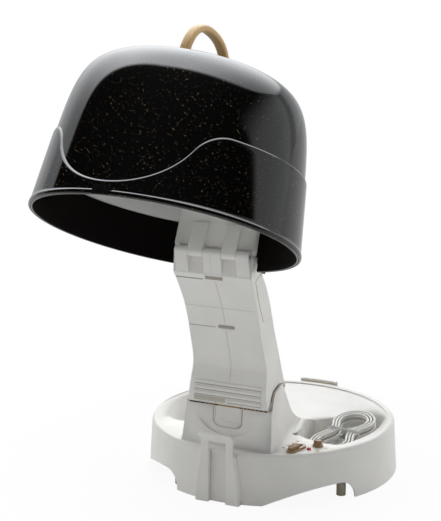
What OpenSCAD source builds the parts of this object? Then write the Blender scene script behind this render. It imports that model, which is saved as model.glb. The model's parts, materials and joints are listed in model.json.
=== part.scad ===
// Fold-away hood hair dryer: round base with blower and cord pocket, hollow air arm, tilting hood.
// Origin at the centre of the base on the table, -Y towards the sitter, +X the side with the controls.

/* [Base] */
// Radius of the base where its skirt meets the table
base_r = 165; // [160:1:172]
// How much the skirt draws in between the table and the top
base_draft = 4; // [2:0.5:5]
// Height of the top of the base above the table
base_h = 66; // [62:1:72]
// Wall of the moulded base and its pedestal
base_wall = 2.6; // [2:0.1:3.2]
// Radius of the rounded edge round the top
base_edge = 7; // [5:0.5:9]
// Height of the crescent lip behind the seat of the hood
lip_h = 1.2; // [0.8:0.1:2]
// Radius of the flat bottom of the pan
pan_r = 100; // [92:1:104]
// Height of the pan's raised ring with the air inlet slots
pan_lift = 22; // [20:1:26]
// Number of air inlet slots round the pan
inlet_slots = 36; // [24:2:48]

/* [Skirt cut-outs] */
// Height of each cut-out under the skirt
cut_h = 23; // [16:1:26]
// Length of the slow rise of each cut-out, in degrees round the base
cut_rise_deg = 36; // [28:1:38]

/* [Pocket for the cord] */
// Depth of the cord pocket and of the pocket opposite
pocket_depth = 26; // [22:1:30]
// Radius from the base centre to the outer wall of the cord pocket
pocket_r = 146; // [143:0.5:147]
// Radius from the base centre to the outer wall of the pocket opposite
tray_r = 137; // [130:1:140]
// Wall of both pockets
pocket_wall = 2; // [1.6:0.1:2.4]

/* [Pedestal] */
// Half width of the pedestal at its front foot
ped_half_front = 62.5; // [60:0.5:63]
// Half width of the pedestal at its back foot
ped_half_back = 40; // [36:1:44]
// Half width of the pedestal at its top
ped_half_top = 55.5; // [55:0.5:57]
// Distance of the pedestal's front foot from the base centre
ped_front = 144; // [142:0.5:145]
// Half width of the latch button
latch_half = 17; // [14:0.5:20]
// Height of the latch button
latch_h = 26; // [22:1:28]
// Inward travel of the latch button
latch_travel = 3; // [2:0.5:4]

/* [Folding joints] */
// Height of the hinge between the pedestal and the arm
fold_z = 137; // [136:0.5:138]
// Height of the hinge between the arm and the hood
neck_z = 322; // [318:1:326]
// Distance of that hinge in front of the base centre
neck_front = 183; // [180:1:186]
// Backward tilt of the raised hood, in degrees
hood_tilt = 26.2; // [24:0.2:28]
// Distance of the neck hinge inside the hood's rim
hinge_in = 27.2; // [26:0.2:29]
// Height of the neck hinge above the hood's rim
hinge_up = 14; // [13:0.5:15]
// How far the closed hood sits in front of the base centre
seat_front = 10; // [9:0.5:11]
// Clearance between the closed hood's rim and the base
seat_gap = 0.5; // [0.4:0.1:0.8]
// Radius of the hinge pins
pin_r = 2.5; // [2:0.1:3]
// Radius of the hinge knuckles at the neck
knuckle_r = 6; // [5.5:0.1:6.5]

/* [Arm] */
// Half width of the arm at its narrow waist
arm_half_waist = 49; // [47:0.5:50]
// How much wider the arm is at the neck, on each side
arm_flare_top = 5.5; // [4:0.5:6]
// How much wider the arm is at its foot, on each side
arm_flare_foot = 6; // [5:0.5:6.5]
// Wall of the arm
arm_wall = 2.6; // [2:0.1:3.2]
// Gap between the arm's foot and the pedestal, measured upwards
arm_gap = 1.3; // [1:0.1:1.6]

/* [Hood] */
// Radius of the dome at its rim
dome_r = 153; // [150:0.5:154]
// Share of that radius lost to draft up to the crown
dome_draft = 0.13; // [0.11:0.01:0.15]
// Height at which the dome's side curve would close
dome_h = 191.5; // [185:0.5:196]
// Wall of the dome
dome_wall = 2.4; // [2:0.1:2.8]
// Thickness of the skirt band that wraps the dome
band_proud = 2.2; // [1.8:0.1:2.4]
// Height of the band at the sides and back
band_crest = 88; // [82:1:92]
// Height of the band at the bottom of its front scoop
band_low = 17; // [15:1:22]
// Radius of the scoop in the band's front
scoop_r = 104; // [96:1:108]
// Radius of the shoulders where the scoop runs out
scoop_shoulder = 50; // [40:1:60]
// Thickness of the bead round the rim beyond the band
bead_proud = 0.6; // [0.3:0.1:0.8]
// Height of the rim bead
bead_h = 5; // [4:0.5:6]
// Height of the air ceiling's edge above the rim
ceiling_h = 50; // [48:0.5:52]
// Height of the air ceiling's centre above the rim
ceiling_top = 168; // [164:1:172]
// Number of rings of air holes round the centre hole
air_rings = 4; // [3:1:5]
// Radius of an air hole
air_hole_r = 3; // [2.4:0.1:3.4]

/* [Handle] */
// Half length of the carrying handle
handle_half = 61; // [54:1:66]
// Height of the handle's arch above its feet
handle_rise = 64; // [56:1:68]
// Thickness of the handle's strap
handle_t = 9; // [8:0.5:11]
// Width of the handle's strap
handle_w = 13; // [11:0.5:16]
// How far the handle's centre lies behind the hood's axis
handle_back = 12; // [8:1:14]

/* [Controls] */
// Length of the slide switch bezel
bezel_len = 34; // [32:1:35]
// Width of the slide switch bezel
bezel_w = 13; // [12:0.5:14]
// Travel of the slide switch
slide_travel = 10; // [8:1:10]
// Radius of the mode knob
knob_r = 6; // [5:0.5:6.5]
// Height of the mode knob
knob_h = 8; // [6:0.5:9]
// Radius of the indicator lens
lens_r = 2.4; // [2:0.1:2.8]

/* [Blower] */
// Radius of the impeller
impeller_r = 40; // [36:1:41]
// Height of the impeller
impeller_h = 26; // [22:1:27]
// Number of impeller blades
blades = 26; // [18:1:30]
// Distance of the blower behind the base centre
blower_back = 78; // [76:1:80]
// Radius of the motor
motor_r = 16; // [14:0.5:18]

/* [Cord] */
// Width of the flat twin cord
cord_w = 6; // [5.6:0.1:6.2]
// Thickness of the flat twin cord
cord_t = 3.2; // [3:0.1:3.3]

/* [Fits] */
// Radial clearance of a running hinge pin
run_fit = 0.05; // [0.02:0.01:0.09]
// Clearance between parts that slide past each other
slide_fit = 0.35; // [0.3:0.05:0.5]
// Gap between parts that are screwed together
seat_fit = 0.15; // [0.1:0.05:0.2]

/* [Hidden] */

ivory = [0.93, 0.92, 0.88];
speckled_black = [0.05, 0.05, 0.06];
bronze = [0.55, 0.40, 0.26];
eps = 0.01;

// ---------- plane geometry ----------

// One point of a Catmull-Rom curve between b and c.
function cr(a, b, c, d, t) =
    0.5 * (2 * b + (c - a) * t + (2 * a - 5 * b + 4 * c - d) * t * t + (3 * b - a - 3 * c + d) * t * t * t);

// A smooth open curve through the points p, with n steps between neighbours.
function curve(p, n) =
    let (last = len(p) - 1)
    concat([for (i = [0 : last - 1], k = [0 : n - 1])
                cr(p[max(i - 1, 0)], p[i], p[i + 1], p[min(i + 2, last)], k / n)],
           [p[last]]);

// A smooth closed curve through the points p.
function loop(p, n) =
    let (m = len(p))
    [for (i = [0 : m - 1], k = [0 : n - 1]) cr(p[(i + m - 1) % m], p[i], p[(i + 1) % m], p[(i + 2) % m], k / n)];

// A quarter or part arc from angle a0 to a1 about c.
function arc(c, r, a0, a1, n) = [for (i = [0 : n]) let (a = a0 + (a1 - a0) * i / n) c + r * [cos(a), sin(a)]];

function unit(v) = v / norm(v);

// A counter-clockwise outline moved inwards by d.
function inset(p, d) =
    let (m = len(p))
    [for (i = [0 : m - 1])
        let (e0 = unit(p[i] - p[(i + m - 1) % m]), e1 = unit(p[(i + 1) % m] - p[i]),
             n0 = [-e0.y, e0.x], n1 = [-e1.y, e1.x])
        p[i] + d * (n0 + n1) / (1 + n0 * n1)];

// An outline in (y, z) extruded from x0 to x1.
module side(p, x0, x1)
    translate([x0, 0, 0]) rotate([90, 0, 90]) linear_extrude(x1 - x0) polygon(p);

// An outline in (x, z) extruded from y0 to y1.
module front(p, y0, y1)
    translate([0, y1, 0]) rotate([90, 0, 0]) linear_extrude(y1 - y0) polygon(p);

// A rod along X at the point p of the (y, z) plane.
module rod(p, r, x0, x1, fn = 48)
    translate([x0, p.x, p.y]) rotate([0, 90, 0]) cylinder(r = r, h = x1 - x0, $fn = fn);

// ---------- hinges and the two frames ----------

hinge_back = dome_r - hinge_in;
neck_hinge = [-neck_front, neck_z];
// The neck hinge when the arm lies down and the hood sits on the base.
neck_hinge_closed = [hinge_back - seat_front, base_h + seat_gap + hinge_up];
// The arm hinge lies at equal distance from both places of the neck hinge.
fold_hinge = let (a = neck_hinge, b = neck_hinge_closed)
    [((b * b - a * a) / 2 - fold_z * (b.y - a.y)) / (b.x - a.x), fold_z];
function lean(v) = atan2(v.x, v.y);
arm_fold_deg = lean(neck_hinge_closed - fold_hinge) - lean(neck_hinge - fold_hinge);
hood_fold_deg = arm_fold_deg + hood_tilt;

// The hood's own frame: origin at the rim's centre, X across, Y back, Z up its axis.
hood_y_axis = [cos(hood_tilt), -sin(hood_tilt)];
hood_z_axis = [sin(hood_tilt), cos(hood_tilt)];
rim_centre = neck_hinge - hinge_back * hood_y_axis - hinge_up * hood_z_axis;
function to_hood(p) = [(p - rim_centre) * hood_y_axis, (p - rim_centre) * hood_z_axis];
module in_hood() translate([0, rim_centre.x, rim_centre.y]) rotate([-hood_tilt, 0, 0]) children();
neck_in_hood = [hinge_back, hinge_up];

echo(fold_hinge = fold_hinge, neck_hinge = neck_hinge, rim_centre = rim_centre);
echo(arm_fold_deg = arm_fold_deg, hood_fold_deg = hood_fold_deg, ratio = hood_fold_deg / arm_fold_deg);

// ---------- base ----------

function skirt_r(z) = base_r - base_draft * z / base_h;
lip_z = base_h + lip_h;
base_edge_x = skirt_r(lip_z - base_edge) - base_edge;
bead_r = dome_r + band_proud + bead_proud;
seat_r = bead_r + 1.2;
// Angles, counted from the front towards the controls, where the cut-outs under the skirt end.
cut_ends = [-23.5, 63.5, 156.5, 243.5];
cut_round_deg = atan(cut_h / base_r);
pan_top = pan_lift + base_wall;
blower = [0, blower_back];
screw_at = [for (a = [46, 140, 220, 314]) [a, 150]];

function from_front(a, r) = [r * sin(a), -r * cos(a)];

// Outline of one cut-out, in distance along the skirt and height, ending at 0 on the steep side.
function cut_outline() =
    let (rise = base_r * sin(cut_rise_deg), round = cut_h, big = (rise * rise + cut_h * cut_h) / (2 * cut_h),
         half = asin(rise / big))
    concat([[-rise - round, -1]],
           [for (i = [0 : 8]) let (a = 90 + half * (1 - i / 8)) [-round + big * cos(a), cut_h - big + big * sin(a)]],
           [for (i = [1 : 8]) let (a = 90 - 90 * i / 8) [-round + round * cos(a), round * sin(a)]],
           [[0, -1]]);

module skirt_cuts()
    for (a = cut_ends)
        rotate([0, 0, a - cut_round_deg])
            translate([base_r * sin(cut_round_deg), 0, 0])
                front(cut_outline(), -base_r - 5, -base_r * 0.72);

module base_outer()
    rotate_extrude($fn = 144)
        polygon(concat([[0, 0], [base_r, 0]],
                       arc([base_edge_x, lip_z - base_edge], base_edge, 0, 90, 6), [[0, lip_z]]));

module base_hollow()
    rotate_extrude($fn = 144)
        polygon([[0, -1], [skirt_r(0) - base_wall, -1], [skirt_r(base_h) - base_wall, base_h - base_edge],
                 [skirt_r(base_h) - base_edge, base_h - base_wall], [0, base_h - base_wall]]);

// ---------- pockets ----------

pocket_z = base_h - pocket_depth;
pocket_inner = ped_half_top + 2;

// Outline of a pocket: the outer wall follows the rim, the inner wall steps round the pedestal.
function pocket_outline(outer) =
    let (d = pocket_r - outer)
    loop(concat([for (a = [-31 : 9.5 : 7]) outer * [cos(a), sin(a)]],
                [[outer * cos(20), outer * sin(20) + 2], [107 - d, 53], [93 - d, 46], [86 - d, 26], [76 - d / 2, 8],
                 [pocket_inner + 2, 3], [pocket_inner - 2, -6], [pocket_inner, -33], [pocket_inner + 3, -58],
                 [76 - d / 2, -70], [90 - d / 2, -74], [105 - d, -78.5]]), 3);

pocket_path = pocket_outline(pocket_r);
tray_path = pocket_outline(tray_r);
notch_at = [pocket_inner + 2, -60];

module pocket_body(p)
    translate([0, 0, pocket_z - pocket_wall])
        linear_extrude(base_h - pocket_z + pocket_wall) polygon(inset(p, -pocket_wall));

module pocket_void(p) translate([0, 0, pocket_z]) linear_extrude(pocket_depth + 5) polygon(p);

// ---------- pedestal ----------

ear_r = pin_r + 2.7;
ear_clear = ear_r + 0.5;
lug_in = 23;
lug_out = 41;
// The line along which the arm's foot meets the pedestal, from the hinge to the front.
seam_line = [[-93.5, 140.5], [-99, 142], [-118, 137], [-124, 131], [-132, 116.6]];
ped_front_top = 138;
front_lean = (ped_front - ped_front_top) / (seam_line[4].y - base_h);
ridge = curve([[2, base_h], [-24, 77.5], [-47, 91.5], [-64, 108.5], [-74, 120.5], [-82, 129]], 4);
ped_foot = base_h - base_wall;
ped_side = concat([[-ped_front - front_lean * base_wall, ped_foot], [2, ped_foot]], ridge,
                  [[-83.5, 134], [-90, 139.5]], seam_line, [[-ped_front_top, 116.6]]);
ped_core = [[-ped_front + base_wall, ped_foot - 1], [-40, ped_foot - 1], [-62, 100], [-78, 120], [-95, 128],
            [-102, 150], [-126, 150], [-126, 117 - base_wall], [-ped_front_top + base_wall + 0.3, 117 - base_wall]];

function ped_width(z) = ped_half_front + (ped_half_top - ped_half_front) * (z - base_h) / (142 - base_h);

module ped_block(p, d)
    intersection() {
        side(p, -80, 80);
        front([[-ped_width(50) + d, 50], [ped_width(50) - d, 50], [ped_width(152) - d, 152],
               [-ped_width(152) + d, 152]], -170, 20);
        translate([0, 0, 50])
            linear_extrude(110)
                polygon([[-ped_half_front + d, -ped_front - 6], [ped_half_front - d, -ped_front - 6],
                         [ped_half_front - d, -ped_front], [ped_half_back - d, 2], [-ped_half_back + d, 2],
                         [-ped_half_front + d, -ped_front]]);
    }

module ped_ear_space()
    for (x = [[-70, -lug_out - slide_fit], [-lug_in + slide_fit, lug_in - slide_fit], [lug_out + slide_fit, 70]])
        rod(fold_hinge, ear_clear, x[0], x[1]);

// Outline of the latch button, seen from the front.
latch_top = 116.6;
function latch_outline(d) =
    let (w = latch_half - d, z = latch_top - latch_h + d, r = 8 - d)
    concat([[w, latch_top + 1], [-w, latch_top + 1]], arc([-w + r, z + r], r, 180, 270, 5),
           arc([w - r, z + r], r, 270, 360, 5));

slide_at = [83.5, -115.5];
slide_turn = -11;
knob_at = [103, -92];
lens_at = [98, -109];

module controls_holes() {
    translate([slide_at.x, slide_at.y, base_h - 5]) rotate([0, 0, slide_turn])
        cube([7, bezel_len - 8, 20], center = true);
    translate([knob_at.x, knob_at.y, base_h - 5]) cylinder(r = 3.2, h = 10, $fn = 32);
    translate([lens_at.x, lens_at.y, base_h - 5]) cylinder(r = lens_r + seat_fit, h = 10, $fn = 32);
}

module screw_boss(at)
    translate([from_front(at[0], at[1]).x, from_front(at[0], at[1]).y, pan_top + seat_fit])
        cylinder(r = 4, h = base_h - base_wall - pan_top, $fn = 32);

module base_shell()
    color(ivory)
    difference() {
        union() {
            difference() {
                base_outer();
                base_hollow();
                translate([0, -seat_front, base_h]) cylinder(r = seat_r, h = 10, $fn = 144);
            }
            difference() {
                ped_block(ped_side, 0);
                ped_ear_space();
            }
            pocket_body(pocket_path);
            mirror([1, 0, 0]) pocket_body(tray_path);
            for (at = screw_at) screw_boss(at);
            for (s = [-1, 1]) ped_lug_web(s);
        }
        skirt_cuts();
        ped_block(ped_core, base_wall);
        pocket_void(pocket_path);
        mirror([1, 0, 0]) pocket_void(tray_path);
        translate([notch_at.x, notch_at.y, pocket_z + 6]) cylinder(r = 5, h = pocket_depth, $fn = 32);
        controls_holes();
        front(latch_outline(-slide_fit), -ped_front - 5, -ped_front + 18);
        for (at = screw_at)
            translate([from_front(at[0], at[1]).x, from_front(at[0], at[1]).y, 0])
                cylinder(r = 1.5, h = base_h - 8, $fn = 24);
        rod(fold_hinge, pin_r + run_fit, -60, 60);
        grommet_hole();
        front_boss_recess();
    }

// A lug seen from the side: a round eye on a web that grows out of the pedestal's back wall.
module ped_lug_web(s)
    side(concat([[-97, 118], [-84, 118]], arc(fold_hinge, ear_r, -66, 175, 12)),
         s > 0 ? lug_in : -lug_out, s > 0 ? lug_out : -lug_in);

// A shallow round recess in the pedestal's front, round the latch button.
module front_boss_recess()
    front([for (a = [180 : 6 : 360]) [50 * cos(a), 129 + 50 * sin(a)]],
          -ped_front - 5, -ped_front + front_lean * 30 + 0.8);

// ---------- underside ----------

module base_pan()
    color([0.85, 0.84, 0.80])
    difference() {
        rotate_extrude($fn = 96)
            polygon([[0, 0], [pan_r, 0], [pan_r + 8, pan_lift], [skirt_r(pan_lift) - base_wall - 1, pan_lift],
                     [skirt_r(pan_lift) - base_wall - 1, pan_top], [pan_r + 6, pan_top],
                     [pan_r - 2, base_wall], [0, base_wall]]);
        for (i = [0 : inlet_slots - 1])
            rotate([0, 0, 360 * (i + 0.5) / inlet_slots])
                translate([pan_r + 14, -1.6, pan_lift - 1]) cube([14, 3.2, base_wall + 2]);
        for (at = screw_at)
            translate([from_front(at[0], at[1]).x, from_front(at[0], at[1]).y, 0]) {
                cylinder(r = 2, h = pan_top + 1, $fn = 24);
            }
    }

module rubber_feet()
    color([0.36, 0.31, 0.28])
    for (a = [60 : 90 : 330])
        translate([from_front(a, 148).x, from_front(a, 148).y, 0]) cylinder(r = 6, h = pan_lift, $fn = 32);

// ---------- catch in front, rest behind ----------

catch_back = seat_front + bead_r + 0.8;
catch_face = max(base_r + 5.5, catch_back + 3.9);
catch_lip = catch_back + 12;

// The skirt's own body, grown a little, so that what stands on it follows its curve.
module skirt_body(d)
    rotate_extrude($fn = 144)
        polygon([[0, -1], [base_r + d, -1], [skirt_r(base_h) + d, base_h], [skirt_r(base_h) + d, base_h + 6],
                 [0, base_h + 6]]);

catch_side = curve([[29.2, base_h - 46], [26.5, base_h - 30], [23.6, base_h - 14], [22, base_h]], 4);

module front_catch()
    color(ivory)
    difference() {
        intersection() {
            side([[-catch_face, 0], [-base_r + 15, 0], [-base_r + 15, base_h], [-catch_back, base_h],
                  [-catch_back, base_h + 16], [-catch_lip, base_h + 29.6], [-catch_lip - 2.6, base_h + 27.2],
                  [-catch_face, base_h + 16.6]], -31, 31);
            front(concat([[30, -1], [29.6, 6]], catch_side, [[22, base_h + 24], [20, base_h + 28], [16, base_h + 30]],
                         [[-16, base_h + 30], [-20, base_h + 28], [-22, base_h + 24]],
                         [for (i = [len(catch_side) - 1 : -1 : 0]) [-catch_side[i].x, catch_side[i].y]],
                         [[-29.6, 6], [-30, -1]]),
                  -catch_lip - 10, -base_r + 25);
        }
        skirt_body(seat_fit);
        translate([-12, -catch_lip - 10, -2]) cube([24, catch_lip - base_r + 45, base_h + 16]);
    }

rest_in = base_r - 13;
rest_out = base_r + 1;

module rear_rest()
    color(ivory)
    difference() {
        intersection() {
            side([[rest_in, lip_z + 0.1], [rest_in + 6, lip_z + 0.1], [rest_in + 6, base_h - 21],
                  [rest_out - 2.6, base_h - 24], [rest_out, base_h - 19], [rest_out, lip_z + 1.8],
                  [rest_out - 1.5, lip_z + 3.2], [rest_in, lip_z + 3.2]], -28, 28);
            translate([0, 0, base_h - 26])
                linear_extrude(40)
                    polygon(concat([[-28, rest_in - 2], [28, rest_in - 2], [28, rest_in + 6]],
                                   arc([22, rest_out - 6], 6, 0, 90, 4), arc([-22, rest_out - 6], 6, 90, 180, 4),
                                   [[-28, rest_in + 6]]));
        }
        skirt_body(seat_fit);
    }

// ---------- latch in the pedestal ----------

function ped_face(z) = -ped_front + front_lean * (z - base_h);

module latch_slab(d0, d1, z0, z1)
    side([[ped_face(z0) + d0, z0], [ped_face(z0) + d1, z0], [ped_face(z1) + d1, z1], [ped_face(z1) + d0, z1]],
         -latch_half - 5, latch_half + 5);

module latch_button()
    color([0.90, 0.89, 0.85])
    union() {
        intersection() {
            latch_slab(0.2, 8, latch_top - latch_h - 1, latch_top - 0.3);
            front(latch_outline(0), -160, -120);
        }
        intersection() {
            latch_slab(base_wall + 0.6, base_wall + 2.6, latch_top - latch_h - 2, latch_top - 6);
            front([[-20, 85], [20, 85], [20, 113], [-20, 113]], -160, -120);
        }
    }

// A folded leaf on the inside of the front wall that pushes the button outwards.
module latch_spring()
    color([0.75, 0.76, 0.78])
    let (foot = ped_face(base_h + 4) + 3.3, bend = ped_face(83) + 3.3)
    side([[foot, base_h + 4], [foot + 1, base_h + 4], [bend + 0.9, 83], [bend + 14.2, 83], [bend + 14.2, 99],
          [bend + 11.7, 108], [bend + 10.8, 107.7], [bend + 13.2, 98.8], [bend + 13.2, 84], [bend, 84]], -6, 6);

// ---------- blower ----------

scroll_floor = pan_top + 0.6;
scroll_top = base_h - 6.8;
fan_top = scroll_top - 4;
fan_h = min(impeller_h, scroll_top - scroll_floor - 8);
tongue_deg = 50;
eye_r = 28;
scroll_gap = 3;
outlet_y = 30;

// The scroll's wall, growing round the impeller from the tongue to the outlet.
function scroll_at(phi, d) =
    let (r = impeller_r + scroll_gap + 16 * phi / 360 + d)
    blower + r * [cos(180 + phi), sin(180 + phi)];
function scroll_line(d) = [for (i = [0 : 30]) scroll_at(tongue_deg + (360 - tongue_deg) * i / 30, d)];
outlet_x = impeller_r + scroll_gap + 16;

module scroll_space(d, over)
    polygon(concat([[-29 + d, outlet_y - over]], scroll_line(d), [[-outlet_x - d, outlet_y - over]]));

module scroll_housing()
    color([0.80, 0.80, 0.78])
    union() {
        difference() {
            translate([0, 0, scroll_floor]) linear_extrude(scroll_top - scroll_floor) scroll_space(2, 0);
            translate([0, 0, scroll_floor + 2]) linear_extrude(scroll_top) scroll_space(0, 1);
            translate([0, blower_back, 0]) cylinder(r = eye_r, h = 60, $fn = 64);
        }
        for (x = [-40, 40]) {
            translate([x, blower_back - 26, base_wall]) cylinder(r = 3.5, h = scroll_floor - base_wall, $fn = 24);
            translate([x, blower_back + 24.5, pan_top]) cylinder(r = 3.5, h = scroll_floor - pan_top, $fn = 24);
        }
    }

module scroll_lid()
    color([0.82, 0.82, 0.80])
    translate([0, 0, scroll_top + seat_fit]) linear_extrude(2.4) scroll_space(2, 0);

module motor()
    color([0.55, 0.55, 0.57])
    translate([0, blower_back, 0])
        rotate_extrude($fn = 64)
            polygon([[0, 18], [motor_r - 2, 18], [motor_r, 20], [motor_r, fan_top - 10.2], [motor_r - 3, fan_top - 7.2],
                     [4, fan_top - 7.2], [4, fan_top - 5.2], [1.5, fan_top - 5.2], [1.5, fan_top + 1.5],
                     [0, fan_top + 1.5]]);

// A ring set into the scroll's eye, with three arms that carry the motor.
module motor_bracket()
    color([0.70, 0.70, 0.68])
    translate([0, blower_back, scroll_floor])
        difference() {
            union() {
                difference() {
                    cylinder(r = eye_r - seat_fit, h = 2, $fn = 64);
                    translate([0, 0, -1]) cylinder(r = eye_r - 2.5, h = 5, $fn = 64);
                }
                for (a = [90, 210, 330]) rotate([0, 0, a]) translate([12, -3, 0]) cube([14.5, 6, 2]);
                cylinder(r = motor_r + 2, h = 6, $fn = 64);
            }
            translate([0, 0, -1]) cylinder(r = motor_r + seat_fit, h = 10, $fn = 64);
        }

// Forward-curved blades under a back plate on the motor's shaft.
module impeller()
    color([0.30, 0.30, 0.32])
    translate([0, blower_back, 0])
        difference() {
            union() {
                translate([0, 0, fan_top - 2]) cylinder(r = impeller_r, h = 2, $fn = 64);
                translate([0, 0, fan_top - 4]) cylinder(r = 6, h = 5, $fn = 32);
                difference() {
                    translate([0, 0, fan_top - fan_h]) cylinder(r = impeller_r, h = 1.6, $fn = 64);
                    translate([0, 0, fan_top - fan_h - 1]) cylinder(r = impeller_r - 9, h = 4, $fn = 64);
                }
                for (i = [0 : blades - 1])
                    rotate([0, 0, 360 * i / blades])
                        translate([impeller_r - 9, 0, fan_top - fan_h + 0.8])
                            rotate([0, 0, 24]) cube([9.4, 1.1, fan_h - 1.6]);
            }
            cylinder(r = 1.5 + run_fit, h = 80, $fn = 32);
        }

// ---------- duct to the pedestal ----------

function tunnel(d, over) =
    [[-29 + d, outlet_y - 0.3 + over], [-16 + d, 4], [-12 + d, -40 - d], [-50 - d, -40 - d], [-50 - d, 0],
     [-outlet_x - d, 14], [-outlet_x - d, outlet_y - 0.3 + over]];

duct_top = base_h - 4;

module air_duct()
    color([0.80, 0.80, 0.78])
    difference() {
        union() {
            translate([0, 0, scroll_floor]) linear_extrude(duct_top - 0.8 - scroll_floor) polygon(tunnel(1.2, 0));
            translate([-49, -138, scroll_floor]) cube([98, 104, duct_top - scroll_floor]);
            for (x = [-30, 30]) {
                translate([x, -60, base_wall]) cylinder(r = 4, h = 24, $fn = 24);
                translate([x, -132, pan_top]) cylinder(r = 4, h = 2, $fn = 24);
            }
        }
        translate([0, 0, scroll_floor + 2]) linear_extrude(duct_top - 4.8 - scroll_floor) polygon(tunnel(-0.8, 1));
        translate([-47, -136, scroll_floor + 2]) cube([94, 100, 60]);
    }

// ---------- heater in the pedestal's neck ----------

heater_x = [-25, 0, 25];
board_z = duct_top + 6;

// Notched mica boards that cross, standing on two rails of the duct.
module heater_frame()
    color([0.86, 0.80, 0.62])
    union() {
        for (x = heater_x)
            side([[-118, board_z], [-76, board_z], [-86, board_z + 38], [-118, board_z + 38]], x - 0.5, x + 0.5);
        translate([-40, -118, board_z + 18]) cube([80, 1, 20]);
        translate([-40, -100, board_z]) cube([80, 1, 38]);
        for (x = [-44, 44]) translate([x - 5, -102, duct_top + 0.05]) cube([10, 5, 10]);
        translate([-44, -102, board_z - 2]) cube([88, 5, 2]);
    }

function wave(z, y) = [for (i = [0 : 36]) [-38 + 76 * i / 36, y + 3.2 * sin(i * 90)]];

// Wavy ribbons of resistance wire wound over the boards.
module heater_coils()
    color([0.62, 0.60, 0.58])
    difference() {
        for (y = [-112, -88], z = [6, 16, 26])
            translate([0, 0, board_z + z])
                linear_extrude(1.6)
                    polygon(concat([for (i = [0 : 36]) wave(z, y)[i] + [0, 0.4]],
                                   [for (i = [36 : -1 : 0]) wave(z, y)[i] - [0, 0.4]]));
        for (x = heater_x) translate([x - 0.55, -130, 60]) cube([1.1, 80, 60]);
    }

module thermostat()
    color([0.20, 0.20, 0.21])
    union() {
        translate([12, -99 + seat_fit, board_z + 10]) rotate([-90, 0, 0]) cylinder(r = 7, h = 5, $fn = 32);
        translate([8, -99 + seat_fit, board_z + 16]) cube([2, 3, 8]);
        translate([14, -99 + seat_fit, board_z + 16]) cube([2, 3, 8]);
    }

// ---------- controls ----------

module on_slide(z) translate([slide_at.x, slide_at.y, z]) rotate([0, 0, slide_turn]) children();

module stadium(w, l)
    polygon(concat(arc([0, l / 2 - w / 2], w / 2, 0, 180, 12), arc([0, -l / 2 + w / 2], w / 2, 180, 360, 12)));

module switch_bezel()
    color(bronze)
    on_slide(base_h + 0.02)
        difference() {
            linear_extrude(3) stadium(bezel_w, bezel_len);
            translate([0, 0, -1]) linear_extrude(6) stadium(5.5, bezel_len - 7);
        }

// The slider's ribbed cap runs on the bezel and its stem reaches down into the switch.
slide_rest = -bezel_len / 2 + 12;
module slide_knob()
    color(bronze)
    on_slide(base_h)
        difference() {
            union() {
                translate([0, slide_rest, 3.37]) linear_extrude(3.4) stadium(9, 19);
                translate([-2.2, slide_rest - 6.5, -12]) cube([4.4, 13, 16]);
            }
            for (i = [-3 : 3]) translate([-5, slide_rest + i * 2.2 - 0.5, 5.97]) cube([10, 1, 2]);
        }

module switch_body()
    color([0.15, 0.15, 0.16])
    on_slide(base_h)
        difference() {
            union() {
                translate([-5.5, -14, -20]) cube([11, 30, 11.5]);
                translate([-7.5, -6, -20]) cube([15, 14, 17.4 - seat_fit]);
            }
            translate([-3, -12.2, -16]) cube([6, 26.6, 20]);
            translate([-5.5, -8, -8.5]) cube([11, 20, 10]);
        }

module mode_knob()
    color(bronze)
    translate([knob_at.x, knob_at.y, 0])
        difference() {
            union() {
                translate([0, 0, base_h + slide_fit]) cylinder(r = knob_r + 0.6, h = 2, $fn = 48);
                translate([0, 0, base_h + 2]) cylinder(r = knob_r - 0.6, h = knob_h - 3, $fn = 48);
                translate([0, 0, base_h + knob_h - 1]) cylinder(r = knob_r - 1.4, h = 1, $fn = 48);
                translate([0, 0, base_h - 10]) cylinder(r = 2.5, h = 12, $fn = 32);
            }
            translate([0, -2.2, base_h + knob_h - 0.6]) cylinder(r = 0.9, h = 2, $fn = 16);
        }

module mode_switch()
    color([0.15, 0.15, 0.16])
    translate([knob_at.x, knob_at.y, base_h])
        difference() {
            translate([-7, -7, -16]) cube([14, 14, 13.4 - seat_fit]);
            translate([0, 0, -12]) cylinder(r = 2.5 + run_fit, h = 20, $fn = 32);
        }

module indicator_lens()
    color([0.80, 0.10, 0.10])
    translate([lens_at.x, lens_at.y, 0])
        rotate_extrude($fn = 32)
            polygon([[0, base_h - 5], [lens_r, base_h - 5], [lens_r, base_h], [lens_r + 0.5, base_h + 0.1],
                     [lens_r + 0.4, base_h + 0.7], [lens_r - 0.6, base_h + 1.8], [0, base_h + 2.2]]);

module base_screws()
    color([0.72, 0.72, 0.74])
    for (at = screw_at)
        translate([from_front(at[0], at[1]).x, from_front(at[0], at[1]).y, 0]) {
            translate([0, 0, pan_lift - 2.2]) cylinder(r = 3.6, h = 2, $fn = 32);
            translate([0, 0, pan_lift - 1]) cylinder(r = 1.4, h = 28, $fn = 24);
        }

module fold_pin()
    color([0.70, 0.71, 0.73])
    rod(fold_hinge, pin_r, -48, 48);

// ---------- arm ----------

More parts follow.
